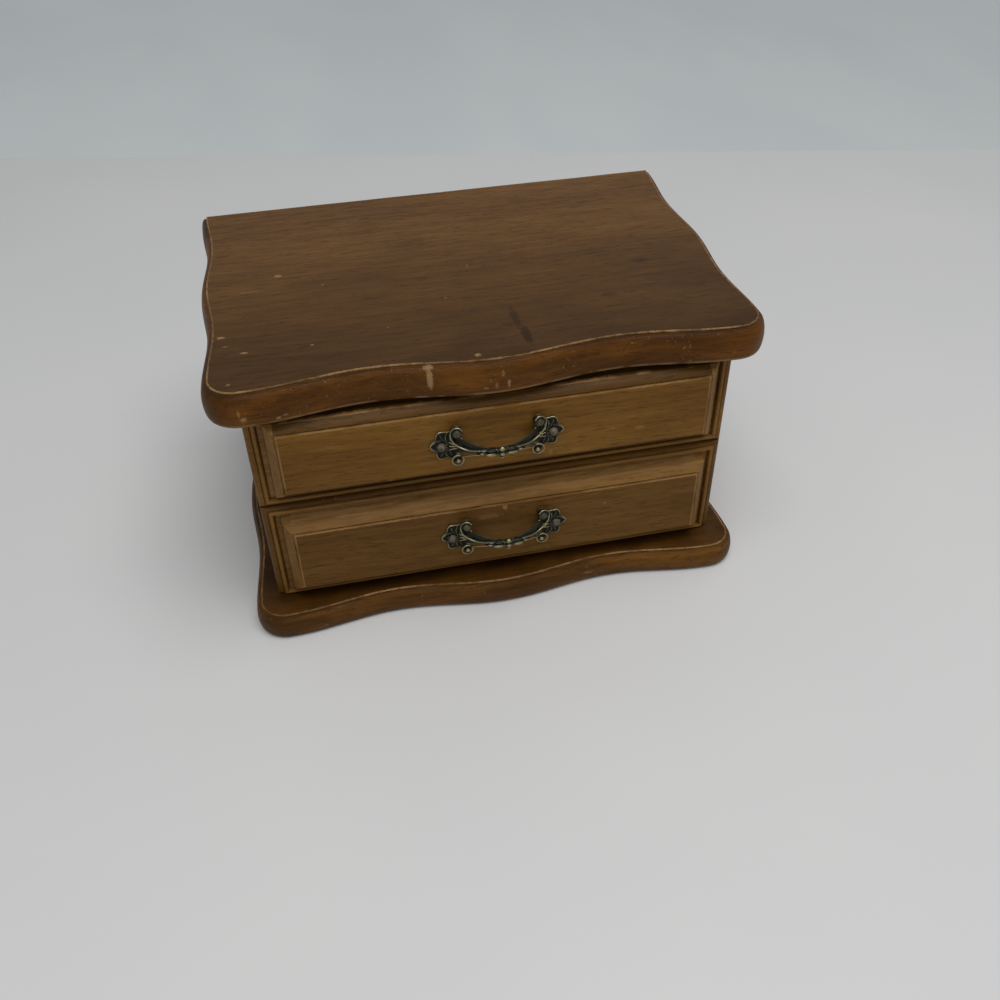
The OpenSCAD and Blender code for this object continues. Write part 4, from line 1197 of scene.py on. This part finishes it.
def ball(shape, centre, radii):
    """Adds an egg-shaped lump."""
    move = Matrix.Translation(centre) @ Matrix.Diagonal((*radii, 1.0))
    bmesh.ops.create_uvsphere(shape, u_segments=20, v_segments=12, radius=1.0, matrix=move)


def curve(points, steps=6):
    """A smooth path through given points (Catmull-Rom)."""
    ends = [points[0], *points, points[-1]]
    path = []
    for a, b, c, d in zip(ends, ends[1:], ends[2:], ends[3:]):
        for k in range(steps):
            t = k / steps
            path.append(tuple(0.5 * (2 * q + (r - p) * t + (2 * p - 5 * q + 4 * r - s) * t * t
                                     + (3 * q - p - 3 * r + s) * t ** 3) for p, q, r, s in zip(a, b, c, d)))
    return [*path, points[-1]]


def lobes(angle):
    """1 in the middle of a fan's lobe and -1 between two, at an angle from its tip, in degrees."""
    return math.cos(math.radians(7.2 * angle))


def fan_reach(angle):
    """Distance from the fan's root to its lobed edge at an angle from its tip, in degrees."""
    return FAN_REACH * math.cos(math.radians(angle / 2.6)) * (0.91 + 0.09 * lobes(angle))


def fan(shape, s):
    """Adds the fan of leaves on one side: a thin domed plate with lobes, their rims and their ribs."""
    def spot(angle, share, out):
        reach = fan_reach(angle) * share
        turn = math.radians(angle)
        return (s * (FAN_ROOT + reach * math.cos(turn)), out, reach * math.sin(turn))

    def rib(angle, spread, reach, top, fall, radii):
        tube(shape, [spot(angle * (spread + (1 - spread) * t), 0.25 + reach * t, top - fall * t ** 1.5)
                     for t in eighths], radii)

    eighths = [k / 8 for k in range(9)]
    fourteenths = [k / 14 for k in range(15)]

    angles = [210 * k / 60 - 105 for k in range(61)]
    shares = eighths[1:]
    centre_top = shape.verts.new((s * FAN_ROOT, 1.5, 0.0))
    centre_low = shape.verts.new((s * FAN_ROOT, 0.0, 0.0))
    tops = [[shape.verts.new(spot(a, r, 1.45 - 0.95 * r ** 2)) for r in shares] for a in angles]
    lows = [[shape.verts.new(spot(a, r, 0.0)) for r in shares] for a in angles]
    for rows, centre in ((tops, centre_top), (lows, centre_low)):
        for near, far in zip(rows, rows[1:]):
            shape.faces.new((centre, near[0], far[0]))
            for a, b, c, d in zip(near, near[1:], far[1:], far):
                shape.faces.new((a, b, c, d))
    for near_top, far_top, near_low, far_low in zip(tops, tops[1:], lows, lows[1:]):
        shape.faces.new((near_top[-1], near_low[-1], far_low[-1], far_top[-1]))
    for end in (0, -1):
        rim_top, rim_low = [centre_top, *tops[end]], [centre_low, *lows[end]]
        for a, b, c, d in zip(rim_top, rim_top[1:], rim_low[1:], rim_low):
            shape.faces.new((a, b, c, d))
    tube(shape, [spot(a, 0.96, 0.72 + 0.2 * lobes(a)) for a in angles], 0.30)
    for angle in (-75, -25, 25, 75):
        rib(angle, 0.55, 0.68, 1.5, 0.85, 0.30)
    for angle in (-98, -50, 50, 98):
        rib(angle, 0.6, 0.6, 1.55, 0.75, [0.28 - 0.08 * t for t in eighths])
    for side in (-1, 1):
        tube(shape, [(s * (PIN_HALF - 3.6 + 8.0 * t), 1.35 - 0.6 * t,
                      side * 2.75 * math.sin(math.pi * t ** 0.85) ** 0.8) for t in fourteenths], 0.30)


def build_pull(shape):
    """Draws the whole casting in mm: X across, Y out from the field, Z up."""
    loops = []
    for k in range(-STRAP_HALF_STEPS, STRAP_HALF_STEPS + 1):
        x = STRAP_END * k / STRAP_HALF_STEPS
        top = strap_top(abs(x))
        foot = -1.5 - 3.4 * (abs(x) / STRAP_END) ** 4
        loop = []
        for step in range(STRAP_SIDES):
            angle = 2 * math.pi * step / STRAP_SIDES
            out = arch(x) - 0.75 + 0.65 * math.sin(angle)
            z = (top + foot) / 2 + (top - foot) / 2 * math.cos(angle)
            loop.append(shape.verts.new((x, max(out, 0.25), z)))
        loops.append(loop)
    skin_loops(shape, loops)
    for s in (-1, 1):
        for points, radius in ((RIM_POINTS, 0.42), (CURL_POINTS, 0.34)):
            tube(shape, curve([(s * x, out, z) for x, out, z in points]), radius)
        ring = [(s * (SCROLL_X + RING_RADIUS * math.sin(turn)), 2.5, -SCROLL_Z + RING_RADIUS * math.cos(turn))
                for turn in (2 * math.pi * k / 24 for k in range(25))]
        tube(shape, ring, 0.40)
        ball(shape, (s * SCROLL_X, 0.6, -SCROLL_Z), (2.5, 1.3, 2.5))
        ball(shape, (s * (SCROLL_X - 0.2), 2.1, -SCROLL_Z - 0.6), (1.15, 1.2, 1.15))
        ball(shape, (s * SCROLL_X, 3.3, SCROLL_Z), (2.2, 2.1, 2.2))
        ball(shape, (s * SCROLL_X, 1.4, SCROLL_Z), (2.3, 1.8, 2.3))
        fan(shape, s)
        for k in (-1, 0, 1):
            tube(shape, [(s * 17.0, 2.7, k * 0.9), (s * 18.6, 2.4, k * 1.2), (s * 20.2, 1.8, k * 1.9)], 0.34)
        for x, z, size in FLOWER_LEAVES:
            ball(shape, (s * x, arch(x) + 0.1, z), (size, size * 0.5, size * 0.36))
    for out, z, size in FLOWER_BALLS:
        ball(shape, (0, STRAP_OUT + out, z), (size, size, size * 0.9))
    for angle in range(0, 360, 60):
        turn = math.radians(angle + 30)
        ball(shape, (1.6 * math.cos(turn), STRAP_OUT + 0.1, 1.6 * math.sin(turn) - 0.2), (0.8, 0.8, 0.8))


shape = bmesh.new()
build_pull(shape)
bmesh.ops.recalc_face_normals(shape, faces=shape.faces)
casting = object_from(shape, "casting")
fused = casting.modifiers.new("fuse", "REMESH")
fused.mode = "VOXEL"
fused.voxel_size = FUSE_MM
eased = casting.modifiers.new("ease", "SMOOTH")
eased.factor = 0.5
eased.iterations = 2
fused_mesh = evaluated(casting)
bpy.data.objects.remove(casting)


def listed(items, what, width=3, kind=float):
    """What each of a mesh's items says, as one row of an array for each item."""
    values = np.zeros(len(items) * width, dtype=kind)
    items.foreach_get(what, values)
    return values.reshape(-1, width)


def relief_of(mesh, rounds=14):
    """How far each point stands proud of its surroundings, from a smoothed copy of the mesh."""
    count = len(mesh.vertices)
    points = listed(mesh.vertices, "co")
    edges = listed(mesh.edges, "vertices", 2, np.int64)
    degree = np.bincount(edges.ravel(), minlength=count).astype(float)
    relaxed = points.copy()
    for _ in range(rounds):
        total = np.zeros_like(relaxed)
        for axis in range(3):
            for here, there in ((0, 1), (1, 0)):
                total[:, axis] += np.bincount(edges[:, here], relaxed[edges[:, there], axis], count)
        relaxed = total / np.maximum(degree, 1)[:, None]
    return ((points - relaxed) * listed(mesh.vertices, "normal")).sum(axis=1)


def dull_strap(mesh, relief):
    """Lowers the relief along the strap's upper edge, which fingers don't rub."""
    x, _, z = listed(mesh.vertices, "co").T
    upper = (np.abs(x) > 2.5) & (np.abs(x) < 15.0) & (z > strap_top(np.abs(x)) - 0.9)
    return np.where(upper, relief * 0.25 - 0.02, relief)


relief = dull_strap(fused_mesh, relief_of(fused_mesh)).astype(np.float32)

cast_brass, tree, shader, place = new_material("antique_brass")
proud = add(tree, "ShaderNodeAttribute", out=2, attribute_name="relief")
grime = place.noise(0.9, 4.0, 0.65)
rubbed = (proud + (grime - 0.5) * 0.2).between(0.08, 0.24)
bare = (proud + (grime - 0.5) * 0.14).between(-0.03, 0.09)
patina = blend(bare, (0.007, 0.008, 0.006), (0.040, 0.038, 0.022))
feed(shader, Base_Color=blend(rubbed, patina, (0.30, 0.26, 0.15)), Metallic=rubbed * 0.5 + 0.5,
     Roughness=0.38 - rubbed * 0.14 + grime * 0.12, Normal=bumped(grime, 0.00012),
     Specular_IOR_Level=0.2)
FIELD_PLANE = FRONTS_PLANE - FIELD_OUT * MM


def cast_pull(name, node, body):
    """The finished casting, laid on the field where the node is."""
    low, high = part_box(node)
    mesh = fused_mesh.copy()
    mesh.name = name
    middle = Matrix.Translation(((low.x + high.x) / 2, FIELD_PLANE, (low.z + high.z) / 2))
    mesh.transform(middle @ Matrix.Diagonal((MM, -MM, MM, 1.0)))
    mesh.flip_normals()
    mesh.attributes.new("relief", "FLOAT", "POINT").data.foreach_set("value", relief)
    mesh.materials.clear()
    mesh.materials.append(cast_brass)
    thing = link_object(name, mesh)
    mesh.shade_smooth()
    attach(thing, body)
    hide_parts(node)


cast_pull("upper_pull_cast", "upper_pull", "case")
cast_pull("lower_pull_cast", "lower_pull", "drawer")

pin_metal, tree, shader, place = new_material("pin_heads")
scuffed = place.noise(0.8, 4.0, 0.65)
pin_tone = blend(scuffed.between(0.35, 0.65), (0.045, 0.037, 0.024), (0.135, 0.108, 0.068))
feed(shader, Base_Color=pin_tone, Metallic=0.2, Roughness=scuffed * 0.3 + 0.48)
dress(["upper_pull_pins", "lower_pull_pins"], pin_metal)
